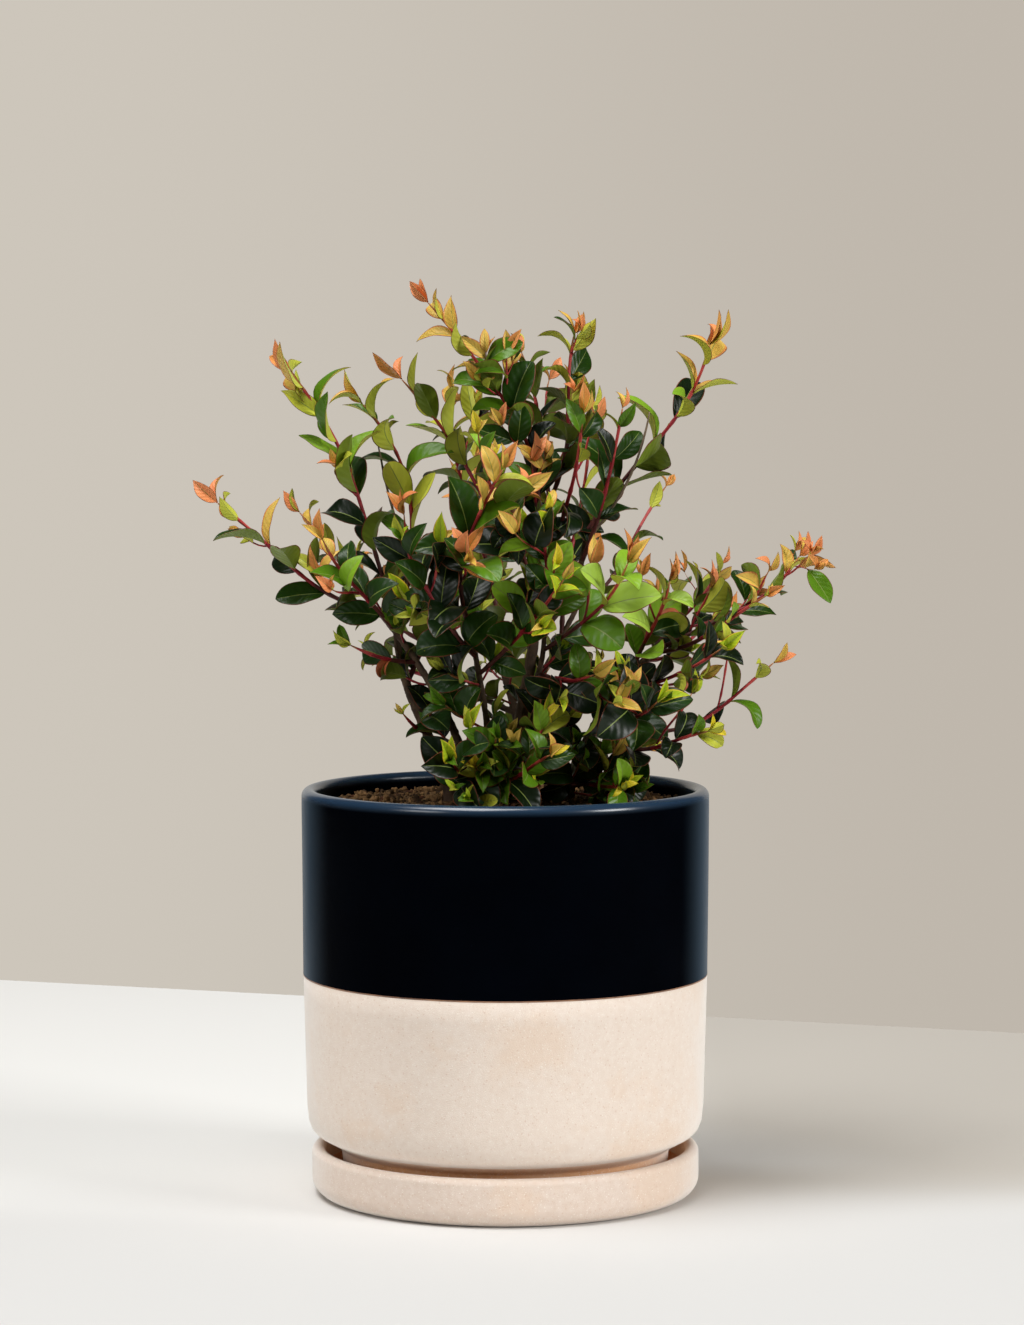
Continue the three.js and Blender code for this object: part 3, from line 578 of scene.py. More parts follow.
# Leaf colours, as they show on a screen: each age of each tint takes its turn through its tones
TONES = {
    "deep green": (10, 27, 4),
    "dark green": (32, 62, 5),
    "blue green": (34, 62, 22),
    "mid green": (82, 122, 18),
    "olive green": (182, 186, 58),
    "golden": (216, 180, 80),
    "bright green": (128, 168, 38),
    "pale green": (156, 188, 68),
    "lime": (172, 192, 34),
    "yellow": (220, 200, 44),
    "copper": (218, 146, 76),
    "orange": (236, 148, 92),
    "dull underside": (112, 130, 40),
    "bright underside": (196, 200, 72),
    "copper underside": (214, 154, 76),
    "midrib": (126, 142, 70),
    "margin": (112, 56, 34),
    "dry brown": (104, 70, 46),
    "dry orange": (176, 96, 56),
}
AGES = {
    "dark": (
        (0.6, ("deep green", "dark green", "deep green", "blue green")),
        (0.88, ("dark green", "deep green", "mid green")),
        (9, ("mid green", "dark green", "olive green")),
    ),
    "olive": (
        (0.4, ("deep green", "dark green", "deep green", "blue green")),
        (0.75, ("mid green", "dark green", "olive green", "deep green", "bright green")),
        (9, ("golden", "olive green", "golden", "mid green")),
    ),
    "copper": (
        (0.4, ("dark green", "deep green", "deep green")),
        (0.65, ("mid green", "dark green", "deep green", "dark green")),
        (0.82, ("golden", "mid green", "golden", "dark green", "mid green")),
        (9, ("golden", "olive green", "copper", "golden")),
    ),
    "lime": (
        (0.45, ("dark green", "mid green", "deep green")),
        (0.8, ("bright green", "dark green", "mid green", "deep green")),
        (9, ("lime", "bright green", "olive green", "mid green")),
    ),
    "light": (
        (0.5, ("mid green", "dark green", "bright green")),
        (9, ("bright green", "mid green", "pale green")),
    ),
}
TIPS = {
    "dark": ("olive green", "mid green", "golden", "lime"),
    "olive": ("copper", "golden", "orange"),
    "copper": ("orange", "copper", "golden", "orange"),
    "lime": ("lime", "golden", "yellow"),
    "light": ("lime", "golden", "copper"),
}


def tone_of(tint, age, roll):
    for limit, tones in AGES[tint]:
        if age < limit:
            return tones[math.floor(between(roll, 0, len(tones)))]
    raise ValueError("an age has no tones")


class Foliage:
    """All leaves, with the room that each one takes."""

    def __init__(self, spots):
        self.spots = spots
        self.places = np.zeros((MOST_PLACES, 3))
        self.reach = np.zeros(MOST_PLACES)
        self.count = 0
        self.leaves = []

    def has_room(self, leaf):
        spots = [leaf["root"] + leaf["along"] * leaf["length"] * share for share in LEAF_CHECKS]
        if not all(in_the_open(spot) for spot in spots):
            return False
        taken = self.places[: self.count]
        reach = self.reach[: self.count]
        for spot in spots:
            near = np.linalg.norm(taken - spot, axis=1) < LEAF_ROOM * np.minimum(reach, leaf["length"])
            if near.any() or not self.spots.clear_of(spot, leaf["node"], STEM_ROOM):
                return False
        for spot in spots:
            self.places[self.count] = spot
            self.reach[self.count] = leaf["length"]
            self.count += 1
        return True

    def place(self, leaf_at):
        """The leaf takes the first of a few turns round its twig that has room, or is left out."""
        for turn in LEAF_TURNS:
            leaf = leaf_at(turn)
            if self.has_room(leaf):
                self.leaves.append(leaf)
                return


def make_leaf(line, t, angle, spread, tilt, looks):
    """A leaf leaves its twig at an angle and turns its face up, outward and to the brighter side."""
    along = line.along(t)
    direction = along * math.cos(spread) + line.across(t, angle) * math.sin(spread)
    direction = unit(direction + UP * LIFT)
    middle = line.point(t)
    outward = unit(middle * (1, 1, 0))
    face = along + UP * FACE_UP + outward * FACE_OUT + TO_LIGHT
    face = unit(face - direction * face.dot(direction))
    across = np.cross(direction, face)
    face = face * math.cos(tilt) - across * math.sin(tilt)
    root = middle + direction * line.radius_at(t) * LEAF_SUNK
    side = np.cross(direction, face)
    return {**looks, "root": root, "along": direction, "face": face, "side": side}


def blade_looks(spray, length, width, tone, young, roll):
    """What one blade looks like: its size, fold, curl, twist and colours. Young ones are folded."""
    return {
        "node": spray["order"],
        "tint": spray["tint"],
        "length": length,
        "width": width,
        "tone": tone,
        "fold": between(roll, *FOLD) + between(roll, *YOUNG_FOLD) * young,
        "curl": between(roll, *CURL),
        "rise": between(roll, *RISE),
        "twist": between(roll, -TWIST, TWIST),
        "wave": between(roll, 0, TURN),
        "blunt": between(roll, *BLUNT) + YOUNG_BLUNT * young,
    }


def fullness_of(spray):
    return FULLNESS.get(spray["name"], 1)


def leaf_twig(foliage, spray, line, size, age_from, first, roll):
    """Pairs of leaves that turn a quarter from node to node, smaller and narrower to the tip."""
    shaded = PAINTED_SHADE_SPRAYS.get(spray["name"], 1)
    for i, distance in enumerate(line.pairs()):
        for j in range(2):
            share = min((distance + j * PAIR_STAGGER) / line.length / line.drawn, LAST_PAIR)
            t = share * line.drawn
            age = mix(age_from, 1, share)
            # A spray in shade takes darker tones: painted shade
            tone = tone_of(spray["tint"], age * shaded, roll)
            young = max(0, (share - YOUNG_FROM) / (1 - YOUNG_FROM))
            if tone in YOUNG_TONES:
                young = max(young, YOUNG_AT_LEAST)
            angle = first + i * QUARTER + j * math.pi + between(roll, -PAIR_TWIST, PAIR_TWIST)
            spread = mix(SPREAD_OLD, SPREAD_YOUNG, share) + between(roll, -SPREAD_VARY, SPREAD_VARY)
            length = size * mix(1, YOUNG_SIZE, young) * between(roll, *SIZE_VARY)
            shape = mix(BLADE_WIDTH, YOUNG_WIDTH, young)
            if spray["tint"] in SLENDER:
                shape *= SLENDER_WIDTH
                length *= SLENDER_LENGTH
            width = length * shape * between(roll, 1 - WIDTH_VARY, 1 + WIDTH_VARY)
            tilt = between(roll, -TILT, TILT)
            looks = blade_looks(spray, length, width, tone, young, roll)
            sparse = SPARSE_STEM if line is spray["line"] else SPARSE_SIDES
            if roll() < mix(sparse, 1, fullness_of(spray)):
                foliage.place(lambda turn: make_leaf(line, t, angle + turn, spread, tilt, looks))


def tip_lances(foliage, spray, line, size, tones, roll):
    """Young leaves at the tip of a twig: one upright, and one or two narrow ones that bend away."""
    count = round(between(roll, *LANCES))
    first = between(roll, 0, TURN)
    for k in range(count):
        form = LANCE if k else UPRIGHT
        length = size * between(roll, *form["length"])
        tone = tones[math.floor(between(roll, 0, len(tones)))]
        looks = blade_looks(spray, length, length * form["width"], tone, 1, roll)
        looks["curl"] *= form["curl"]
        spread = between(roll, *form["spread"])
        foliage.leaves.append(make_leaf(line, line.drawn, first + TURN * k / count, spread, 0, looks))


def axil_shoots(foliage, spray, line, first, roll):
    """Fine shoots that leave a twig beside its leaves and stay within the spray's reach."""
    shoots = []
    farthest = np.linalg.norm(spray["line"].point(1) - HEART)
    for i, distance in enumerate(line.pairs()):
        t = (distance + SHOOT_ABOVE) / line.length
        side = 0 if roll() < 0.5 else math.pi
        length = between(roll, *SHOOT_LENGTH)
        spread = between(roll, *SHOOT_SPREAD)
        wanted = roll() < SHOOT_SHARE * fullness_of(spray) and t < SHOOT_UNTIL
        shoot = side_twig(line, t, first + i * QUARTER + side, spread, length, i)
        thick = min(SHOOT_RADIUS, SHOOT_THICKNESS * line.radius_at(t))
        shoot.radius_at = lambda t, thick=thick: mix(thick, SHOOT_TAPER * thick, t)
        if wanted and twig_has_room(spray["order"], shoot, farthest, foliage.spots):
            shoots.append(shoot)
            foliage.spots.add(spray["order"], shoot, shoot.radius_at)
    return shoots


def dress_spray(foliage, spray):
    """All twigs and leaves of one spray, and the twigs to draw, each with its age at its foot."""
    full_size = spray["leaf"] * GROWN * LARGE_LEAVES.get(spray["name"], 1)
    tones = TIPS[spray["tint"]]
    twigs = [(spray["line"], 0.0, 1.0)]
    twigs += [(side, max(SIDE_AGE, side.foot_share), SIDE_LEAF) for side in spray["sides"]]
    grown = []
    for k, (line, age, share) in enumerate(twigs):
        if k - 1 in LEFT_OUT.get(spray["name"], ()):
            continue
        own = dice((FOLIAGE_SEEDS + k) * LEAF_SEED + spray["order"])
        first = between(own, 0, math.pi)
        shoots = axil_shoots(foliage, spray, line, first + QUARTER / 2, own)
        leaf_twig(foliage, spray, line, full_size * share, age, first, own)
        tip_lances(foliage, spray, line, full_size, tones, own)
        grown.append((line, age))
        for shoot in shoots:
            leaf_twig(foliage, spray, shoot, full_size * SHOOT_LEAF, SHOOT_AGE, first, own)
            tip_lances(foliage, spray, shoot, full_size * SHOOT_LEAF, tones, own)
            grown.append((shoot, SHOOT_BARK_AGE))
    return grown


def dry_leaves(foliage, sprays):
    """A few dried leaves still hang on, curled up."""
    for name, t, angle, length, tone in DRY_LEAVES:
        spray = next(one for one in sprays if one["name"] == name)
        looks = blade_looks(spray, length, DRY_WIDTH * length, tone, 0, dice(LEAF_SEED))
        leaf = make_leaf(spray["line"], t, angle, DRY_SPREAD, DRY_TILT, looks)
        foliage.leaves.append({**leaf, **DRY_SHAPE})


def low_shoots(foliage, limbs):
    """Shoots that leave the stems low over the soil, some young and bright, some full of dark leaves."""
    grown = []
    for number, (name, t, angle, spread, length, leaf, tint, tone) in enumerate(LOW_SHOOTS):
        own = dice(LOW_SEEDS * LEAF_SEED + number)
        line = limbs[name]["line"]
        shoot = side_twig_from(line.point(t), line, t, angle, spread, length, number)
        shoot.radius_at = twig_radius(SHOOT_RADIUS)
        shoot.internode = LOW_INTERNODE * INTERNODE
        place = {"name": name, "order": LOW_ORDER - number, "tint": tint, "line": shoot}
        foliage.spots.add(place["order"], shoot, shoot.radius_at)
        leaf_twig(foliage, place, shoot, leaf, LOW_AGES[tint], angle, own)
        tip_lances(foliage, place, shoot, leaf, (tone,), own)
        grown.append((shoot, LOW_BARK_AGE))
    return grown


def dress_limb(foliage, limb, number):
    """Fine leafy shoots along a living limb, which fill the heart of the crown."""
    own = dice(LIMB_SEEDS * LEAF_SEED + number)
    line = limb["line"]
    inner = {"name": limb["name"], "order": -1 - number, "tint": "dark", "line": line}
    grown = []
    count = math.floor(line.length * (1 - LIMB_SHOOTS_FROM) / LIMB_SHOOT_SPACING)
    for k in range(count):
        t = mix(LIMB_SHOOTS_FROM, 1, (k + between(own, 0, 1)) / count)
        angle = between(own, 0, TURN)
        spread = between(own, *SIDE_SPREAD)
        length = between(own, *LIMB_SHOOT_LENGTH)
        leaf = between(own, *LIMB_LEAF)
        for turn in SIDE_TURNS:
            shoot = side_twig_from(line.point(t), line, t, angle + turn, spread, length, k)
            shoot.radius_at = twig_radius(SHOOT_RADIUS)
            if twig_has_room(inner["order"], shoot, INNER_REACH, foliage.spots):
                foliage.spots.add(inner["order"], shoot, shoot.radius_at)
                leaf_twig(foliage, inner, shoot, leaf, 0.0, angle, own)
                tip_lances(foliage, inner, shoot, leaf * SHOOT_LEAF, TIPS["dark"], own)
                grown.append((shoot, LIMB_BARK_AGE))
                break
    return grown


# Meshes from arrays
def ring_faces(rings, sides, closed=False):
    """Faces between rings of points, each ring closed on itself."""
    i, j = np.meshgrid(np.arange(rings if closed else rings - 1), np.arange(sides), indexing="ij")
    after = (i + 1) % rings
    beside = (j + 1) % sides
    quads = np.stack([i * sides + j, i * sides + beside, after * sides + beside, after * sides + j], -1)
    return quads.reshape(-1, 4)


class Skin:
    """Gathers the points and faces of one joined piece."""

    def __init__(self):
        self.points = []
        self.corners = []
        self.sizes = []
        self.looks = []
        self.spots = []
        self.total = 0

    def add(self, points, faces, look=0, spots=None):
        """Copies of one set of faces over many sets of points: (copies, points, 3)."""
        copies, count = points.shape[:2]
        start = self.total + np.arange(copies)[:, None, None] * count
        self.points.append(points.reshape(-1, 3))
        self.spots.append(np.zeros((copies * count, 2)) if spots is None else spots.reshape(-1, 2))
        self.total += copies * count
        looks = np.broadcast_to(look, (copies, sum(len(f) for f in faces)))
        used = 0
        for group in faces:
            self.corners.append((group[None] + start).ravel())
            self.sizes.append(np.full(copies * len(group), group.shape[1]))
            self.looks.append(looks[:, used : used + len(group)].ravel())
            used += len(group)

    def add_rings(self, points, look=0, closed=False):
        """One body in rings, with a look for each run between two rings; an open one is capped."""
        rings, sides = points.shape[:2]
        faces = [ring_faces(rings, sides, closed)]
        looks = np.repeat(np.broadcast_to(look, rings if closed else rings - 1), sides)
        if not closed:
            faces.append(caps(rings, sides))
            looks = np.append(looks, [looks[0], looks[-1]])
        self.add(points.reshape(1, -1, 3), faces, looks)

    def piece(self, name, materials):
        """The finished piece, smooth, with its places on the leaf kept as a map."""
        corners = np.concatenate(self.corners).astype(np.int32)
        sizes = np.concatenate(self.sizes).astype(np.int32)
        starts = np.concatenate([[0], np.cumsum(sizes)[:-1]]).astype(np.int32)
        mesh = bpy.data.meshes.new(name)
        mesh.vertices.add(self.total)
        mesh.vertices.foreach_set("co", (np.concatenate(self.points) * MM).ravel())
        mesh.loops.add(len(corners))
        mesh.loops.foreach_set("vertex_index", corners)
        mesh.polygons.add(len(sizes))
        mesh.polygons.foreach_set("loop_start", starts)
        mesh.polygons.foreach_set("material_index", np.concatenate(self.looks).astype(np.int32))
        for material in materials:
            mesh.materials.append(material)
        layer = mesh.uv_layers.new(name="blade")
        layer.data.foreach_set("uv", np.concatenate(self.spots)[corners].ravel())
        mesh.update(calc_edges=True)
        mesh.validate()
        mesh.shade_smooth()
        piece = bpy.data.objects.new(name, mesh)
        bpy.context.scene.collection.objects.link(piece)
        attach(piece, "root")
        return piece


def caps(rings, sides):
    """One face at each end of a run of rings."""
    first = np.arange(sides)[::-1]
    return np.stack([first, (rings - 1) * sides + first[::-1]])


def relief(points, layers):
    """Layers of waves, each with its strength, its stretch along the stem, its size and its seed."""
    return sum(part * waves(points * (1, 1, along), size, seed) for part, along, size, seed in layers)


def waves(points, size, seed):
    """Smooth unevenness between about -1 and 1, at a size in millimetres."""
    chance = np.random.default_rng(seed)
    total = np.zeros(points.shape[:-1])
    for _ in range(WAVES):
        direction = unit(chance.normal(size=3))
        phase = points @ direction * TURN / size * chance.uniform(*WAVES_VARY) + chance.uniform(0, TURN)
        total += np.sin(phase)
    return total / WAVES_HEIGHT


def arc(across, height, radius, start, end, steps):
    """Points of an arc in a profile, from one angle to another in quarter turns."""
    angles = QUARTER * np.linspace(start, end, steps + 1)
    return [(across + radius * math.cos(a), height + radius * math.sin(a)) for a in angles]


def lathe_points(profile):
    across, height = np.array(profile, float).T
    angles = TURN * np.arange(LATHE_SIDES) / LATHE_SIDES
    x = across[:, None] * np.cos(angles)
    y = across[:, None] * np.sin(angles)
    return np.stack([x, y, np.broadcast_to(height[:, None], x.shape)], -1)


def turned(name, materials, profile, look, closed=False):
    """A turned piece, a little uneven as clay is; each step of the profile has its own look."""
    points = lathe_points(profile)
    out = points * (1, 1, 0)
    out /= np.linalg.norm(out, axis=-1, keepdims=True)
    points = points + out * (waves(points, WOBBLE_SIZE, WOBBLE_SEED) * HAND_WOBBLE)[..., None]
    skin = Skin()
    skin.add_rings(points, look, closed)
    return skin.piece(name, materials)


def saucer_profile():
    lip = SAUCER_WALL / 2
    inside = SAUCER_RADIUS - SAUCER_WALL
    return [
        (AXIS_RADIUS, 0),
        (SAUCER_FOOT_RADIUS - HEEL_STOP, 0),
        *arc(SAUCER_FOOT_RADIUS, SAUCER_HEEL, SAUCER_HEEL, -1, 0, HEEL_STEPS),
        (SAUCER_RADIUS, SAUCER_HEEL + HEEL_RUN),
        *arc(SAUCER_RADIUS - lip, SAUCER_HEIGHT - lip, lip, 0, 2, LIP_STEPS),
        *arc(inside - SAUCER_COVE, SAUCER_FLOOR + SAUCER_COVE, SAUCER_COVE, 0, -1, SAUCER_COVE_STEPS),
        (AXIS_RADIUS, SAUCER_FLOOR),
    ]


def inside_profile(clear):
    """The pot's inside, drawn in by a clearance when it shapes the soil."""
    cove, corner, shoulder = INSIDE_BENDS
    return [
        (AXIS_RADIUS, POT_FLOOR + clear),
        (INSIDE_FOOT_RADIUS - clear, POT_FLOOR + clear),
        (INSIDE_FOOT_RADIUS - clear, COVE_HEIGHT + cove + clear),
        (CORNER_RADIUS - POT_WALL - clear, CORNER_HEIGHT + corner + clear),
        (SHOULDER_RADIUS - POT_WALL - clear, SHOULDER_HEIGHT + shoulder + clear),
    ]


def wall_radius(height):
    share = (height - GLAZE_LINE) / (POT_TOP - RIM_ROUND - GLAZE_LINE)
    return mix(GLAZE_LINE_RADIUS, RIM_RADIUS, share)


def pot_profile():
    """The clay body, let in by the glaze's thickness above the glaze line."""
    tube = RIM_RADIUS - RIM_ROUND
    heights = np.linspace(GLAZE_LINE + GLAZE_BEAD, POT_TOP - CLAY_WALL_STOP, CLAY_WALL_POINTS)
    wall = [(wall_radius(height) - GLAZE_COAT, height) for height in heights]
    corner = CORNER_RADIUS - CORNER_ROUND - SOFT_EDGE
    shares = [k / CLAY_STEPS for k in range(1, CLAY_STEPS + 1)]
    bare = [(mix(SHOULDER_RADIUS, GLAZE_LINE_RADIUS, s), mix(SHOULDER_HEIGHT, GLAZE_LINE, s)) for s in shares]
    return [
        (AXIS_RADIUS, POT_BASE),
        (FOOT_RADIUS - FOOT_DRAFT - FOOT_BEVEL, POT_BASE),
        (FOOT_RADIUS - FOOT_DRAFT, POT_BASE + FOOT_BEVEL),
        (FOOT_RADIUS, FOOT_TOP - SOFT_EDGE),
        (FOOT_RADIUS + SOFT_EDGE, FOOT_TOP + 0.5 * SOFT_EDGE),
        (COVE_RADIUS - SOFT_EDGE, COVE_HEIGHT - 0.6 * SOFT_EDGE),
        (COVE_RADIUS + SOFT_EDGE, COVE_HEIGHT + 0.5 * SOFT_EDGE),
        *arc(corner, CORNER_HEIGHT + SOFT_EDGE, CORNER_ROUND, -0.75, -0.5, 2),
        (CORNER_RADIUS, CORNER_HEIGHT),
        (SHOULDER_RADIUS - SOFT_EDGE, CORNER_HEIGHT + CORNER_ROUND),
        (SHOULDER_RADIUS, SHOULDER_HEIGHT),
        *bare,
        *wall,
        *arc(tube, POT_TOP - RIM_ROUND, RIM_ROUND - GLAZE_COAT, 0, 2, RIM_CLAY_STEPS),
        *inside_profile(GLAZE_COAT)[::-1],
    ]


def glaze_profile():
    """The coat of glaze: up the wall, over the rim and down inside, and back through the clay."""
    tube = RIM_RADIUS - RIM_ROUND
    start, stop, count = GLAZE_WALL
    heights = np.linspace(GLAZE_LINE + start, POT_TOP - stop, count)
    edge = [
        (GLAZE_LINE_RADIUS - GLAZE_COAT, GLAZE_LINE),
        (GLAZE_LINE_RADIUS - GLAZE_PROUD, GLAZE_LINE - GLAZE_PROUD),
        (GLAZE_LINE_RADIUS + 0.12, GLAZE_LINE + 0.25),
        (GLAZE_LINE_RADIUS + 0.16, GLAZE_LINE + GLAZE_THIN),
    ]
    outside = [(wall_radius(height) + GLAZE_PROUD, height) for height in heights]
    rim = arc(tube, POT_TOP - RIM_ROUND, RIM_ROUND, 0, 2, RIM_STEPS)
    inner = tube - RIM_ROUND
    inside = [(inner, POT_TOP - GLAZE_INSIDE_START)]
    inside += [(inner + out, GLAZE_INSIDE_END) for out in GLAZE_INSIDE_EDGES]
    core = arc(tube, POT_TOP - RIM_ROUND, RIM_ROUND - 2 * GLAZE_COAT, 2, 0, RIM_CORE_STEPS)
    return edge + outside + rim + inside + core, len(edge) - 1


def soil_profile():
    wall = RIM_RADIUS - 2 * RIM_ROUND - GAP
    edge = wall - SOIL_EDGE_CLEARANCE
    flat = wall - SOIL_EDGE_WIDTH
    rings = np.arange(flat, AXIS_RADIUS, -SOIL_RING_STEP)
    shares = [k / SOIL_EDGE_STEPS for k in range(1, SOIL_EDGE_STEPS)]
    sloping = [(mix(edge, flat, s), SOIL_TOP - SOIL_EDGE_DROP * (1 - s) ** SOIL_EDGE_ROUND) for s in shares]
    top = [(across, SOIL_TOP) for across in rings]
    return [*inside_profile(GAP), (edge, SOIL_TOP - SOIL_EDGE_DROP), *sloping, *top]


def soil_relief(points):
    """How far the soil stands above or below its mean level."""
    return SOIL_RELIEF * relief(points, SOIL_WAVES)


def make_soil(materials):
    skin = Skin()
    points = lathe_points(soil_profile())
    on_top = points[..., 2] > SOIL_TOP - SOIL_EDGE_DROP + HAIR
    points[..., 2] += np.where(on_top, soil_relief(points * (1, 1, 0)), 0)
    skin.add_rings(points)
    return skin.piece("soil_bed", materials)


def ball():
    """Points and faces of a ball of 42 points."""
    golden = (1 + 5**0.5) / 2
    signs = (-1, 1)
    points = [unit(np.roll((0.0, a, b * golden), k)) for k in range(3) for a in signs for b in signs]
    edge = min(np.linalg.norm(points[0] - p) for p in points[1:]) * 1.1
    near = lambda a, b: np.linalg.norm(points[a] - points[b]) < edge
    middles = {}

    def middle(a, b):
        key = (min(a, b), max(a, b))
        if key not in middles:
            middles[key] = len(points)
            points.append(unit(points[a] + points[b]))
        return middles[key]

    faces = []
    for a, b, c in itertools.combinations(range(len(points)), 3):
        if not (near(a, b) and near(b, c) and near(a, c)):
            continue
        if np.cross(points[b] - points[a], points[c] - points[a]).dot(points[a]) < 0:
            b, c = c, b
        ab, bc, ca = middle(a, b), middle(b, c), middle(c, a)
        faces += [(a, ab, ca), (ab, b, bc), (ca, bc, c), (ab, bc, ca)]
    return np.array(points), np.array(faces)


def scatter(count, sizes, squash, seed):
    """Lumps scattered over the soil, each one uneven, turned its own way and half sunk."""
    chance = np.random.default_rng(seed)
    shape, faces = ball()
    radius = CRUMB_SPREAD * np.sqrt(chance.uniform(0, 1, count))
    angle = chance.uniform(0, TURN, count)
    ground = np.stack([radius * np.cos(angle), radius * np.sin(angle), np.zeros(count)], -1)
    size = sizes[0] + (sizes[1] - sizes[0]) * chance.uniform(0, 1, count) ** 3
    bumps = shape[None] * chance.uniform(*CRUMB_BUMPS, (count, 1, 3)) + chance.uniform(0, TURN, (count, 1, 3))
    rough = 1 + CRUMB_RELIEF * np.sin(bumps).sum(-1)
    points = shape[None] * rough[..., None] * (size[:, None] * chance.uniform(*squash, (count, 3)))[:, None]
    turns = chance.uniform(0, TURN, count)
    c, s = np.cos(turns)[:, None], np.sin(turns)[:, None]
    x, y, z = np.moveaxis(points, -1, 0)
    points = np.stack([x * c - y * s, x * s + y * c, z], -1)
    ground[:, 2] = SOIL_TOP + soil_relief(ground) + CRUMB_LIFT * size
    return points + ground[:, None], faces


def make_crumbs(materials):
    """Crumbs in the first three looks, and flat chips in the last three."""
    skin = Skin()
    chance = np.random.default_rng(CRUMB_LOOK_SEED)
    points, faces = scatter(CRUMBS, CRUMB_SIZE, CRUMB_SQUASH, CRUMB_SEED)
    skin.add(points, [faces], np.repeat(chance.integers(0, 3, CRUMBS)[:, None], len(faces), 1))
    points, faces = scatter(CHIPS, CHIP_SIZE, CHIP_SQUASH, CHIP_SEED)
    points[..., 2] = SOIL_TOP + (points[..., 2] - SOIL_TOP) * CHIP_FLATNESS
    skin.add(points, [faces], np.repeat(chance.integers(1, 4, CHIPS)[:, None], len(faces), 1))
    return skin.piece("soil_crumbs", materials)


def tube_points(line, start, end, radius_at, sides, step):
    """Rings of points along a line between two shares of its length."""
    count = max(3, math.ceil((end - start) * line.length / step) + 1)
    shares = np.linspace(start, end, count)
    angles = -TURN * np.arange(sides) / sides
    rings = []
    for t in shares:
        side, other = line.across(t, 0), line.across(t, QUARTER)
        spokes = np.outer(np.cos(angles), side) + np.outer(np.sin(angles), other)
        rings.append(line.point(t) + spokes * radius_at(t))
    return np.array(rings), shares


def add_limb(skin, limb, tip_radius):
    """One woody limb with the bark's relief, tapered at its end to the twig that goes on."""
    line = limb["line"]
    foot = -SUNK / line.length if not limb["on"] else 0

    def radius_at(t):
        last = max(0, (t - LIMB_TAPER_FROM) / (1 - LIMB_TAPER_FROM))
        return mix(limb_radius(limb, t), tip_radius, last**2)

    points, _ = tube_points(line, foot, 1, radius_at, LIMB_SIDES, LIMB_STEP)
    middle = points.mean(1, keepdims=True)
    skin.add_rings(middle + (points - middle) * (1 + BARK_RELIEF * relief(points, BARK_WAVES))[..., None])


def add_twig(skin, line, age_from):
    """One green or red twig with a knuckle at each pair of leaves; its looks go by age."""
    nodes = line.pairs()

    def radius_at(t):
        nearest = min(abs(t * line.length - node) for node in nodes)
        knuckle = 1 + KNUCKLE * math.exp(-((nearest / KNUCKLE_WIDTH) ** 2))
        left = (line.drawn - t) * line.length / TIP_LENGTH
        return line.radius_at(t) * knuckle * min(1, mix(TIP_SHARE, 1, left))

    points, shares = tube_points(line, 0, line.drawn, radius_at, TWIG_SIDES, TWIG_RING_STEP)
    ages = age_from + (1 - age_from) * (shares[:-1] + shares[1:]) / 2 / line.drawn
    skin.add_rings(points, np.digitize(ages, TWIG_AGES))


# A blade in rings: across the top from edge to edge, and back across the underside
FINE = {
    "top": (-1, -0.94, -0.78, -0.4, -0.032, 0.032, 0.4, 0.78, 0.94, 1),
    "under": (0.94, 0.5, 0.04, -0.04, -0.5, -0.94),
    "stations": (0, 0.04, 0.09, 0.15, 0.22, 0.3, 0.38, 0.46, 0.54, 0.62, 0.7, 0.77, 0.84, 0.9, 0.95, 0.98, 1),
}
PLAIN = {
    "top": (-1, -0.9, -0.5, 0, 0.5, 0.9, 1),
    "under": (0.5, 0, -0.5),
    "stations": (0, 0.06, 0.15, 0.28, 0.42, 0.56, 0.7, 0.82, 0.92, 1),
}
MIDRIB_STEP = 0.15
BLUSH_FROM = 0.78
BLUSH = {"golden": "copper", "copper": "orange", "yellow": "golden", "lime": "yellow"}
STALK = 0.42
STALK_TIP = 0.14
STALK_UNTIL = 0.06
BASE_ROUND = 0.78
BLADE_FROM = 0.04
POINT_FROM = 0.99
POINT_WIDTH = 0.06
RIPPLE = 0.07
RIPPLES = 11
FOLD_ROUND = 0.35
TIP_THINNESS = 0.6


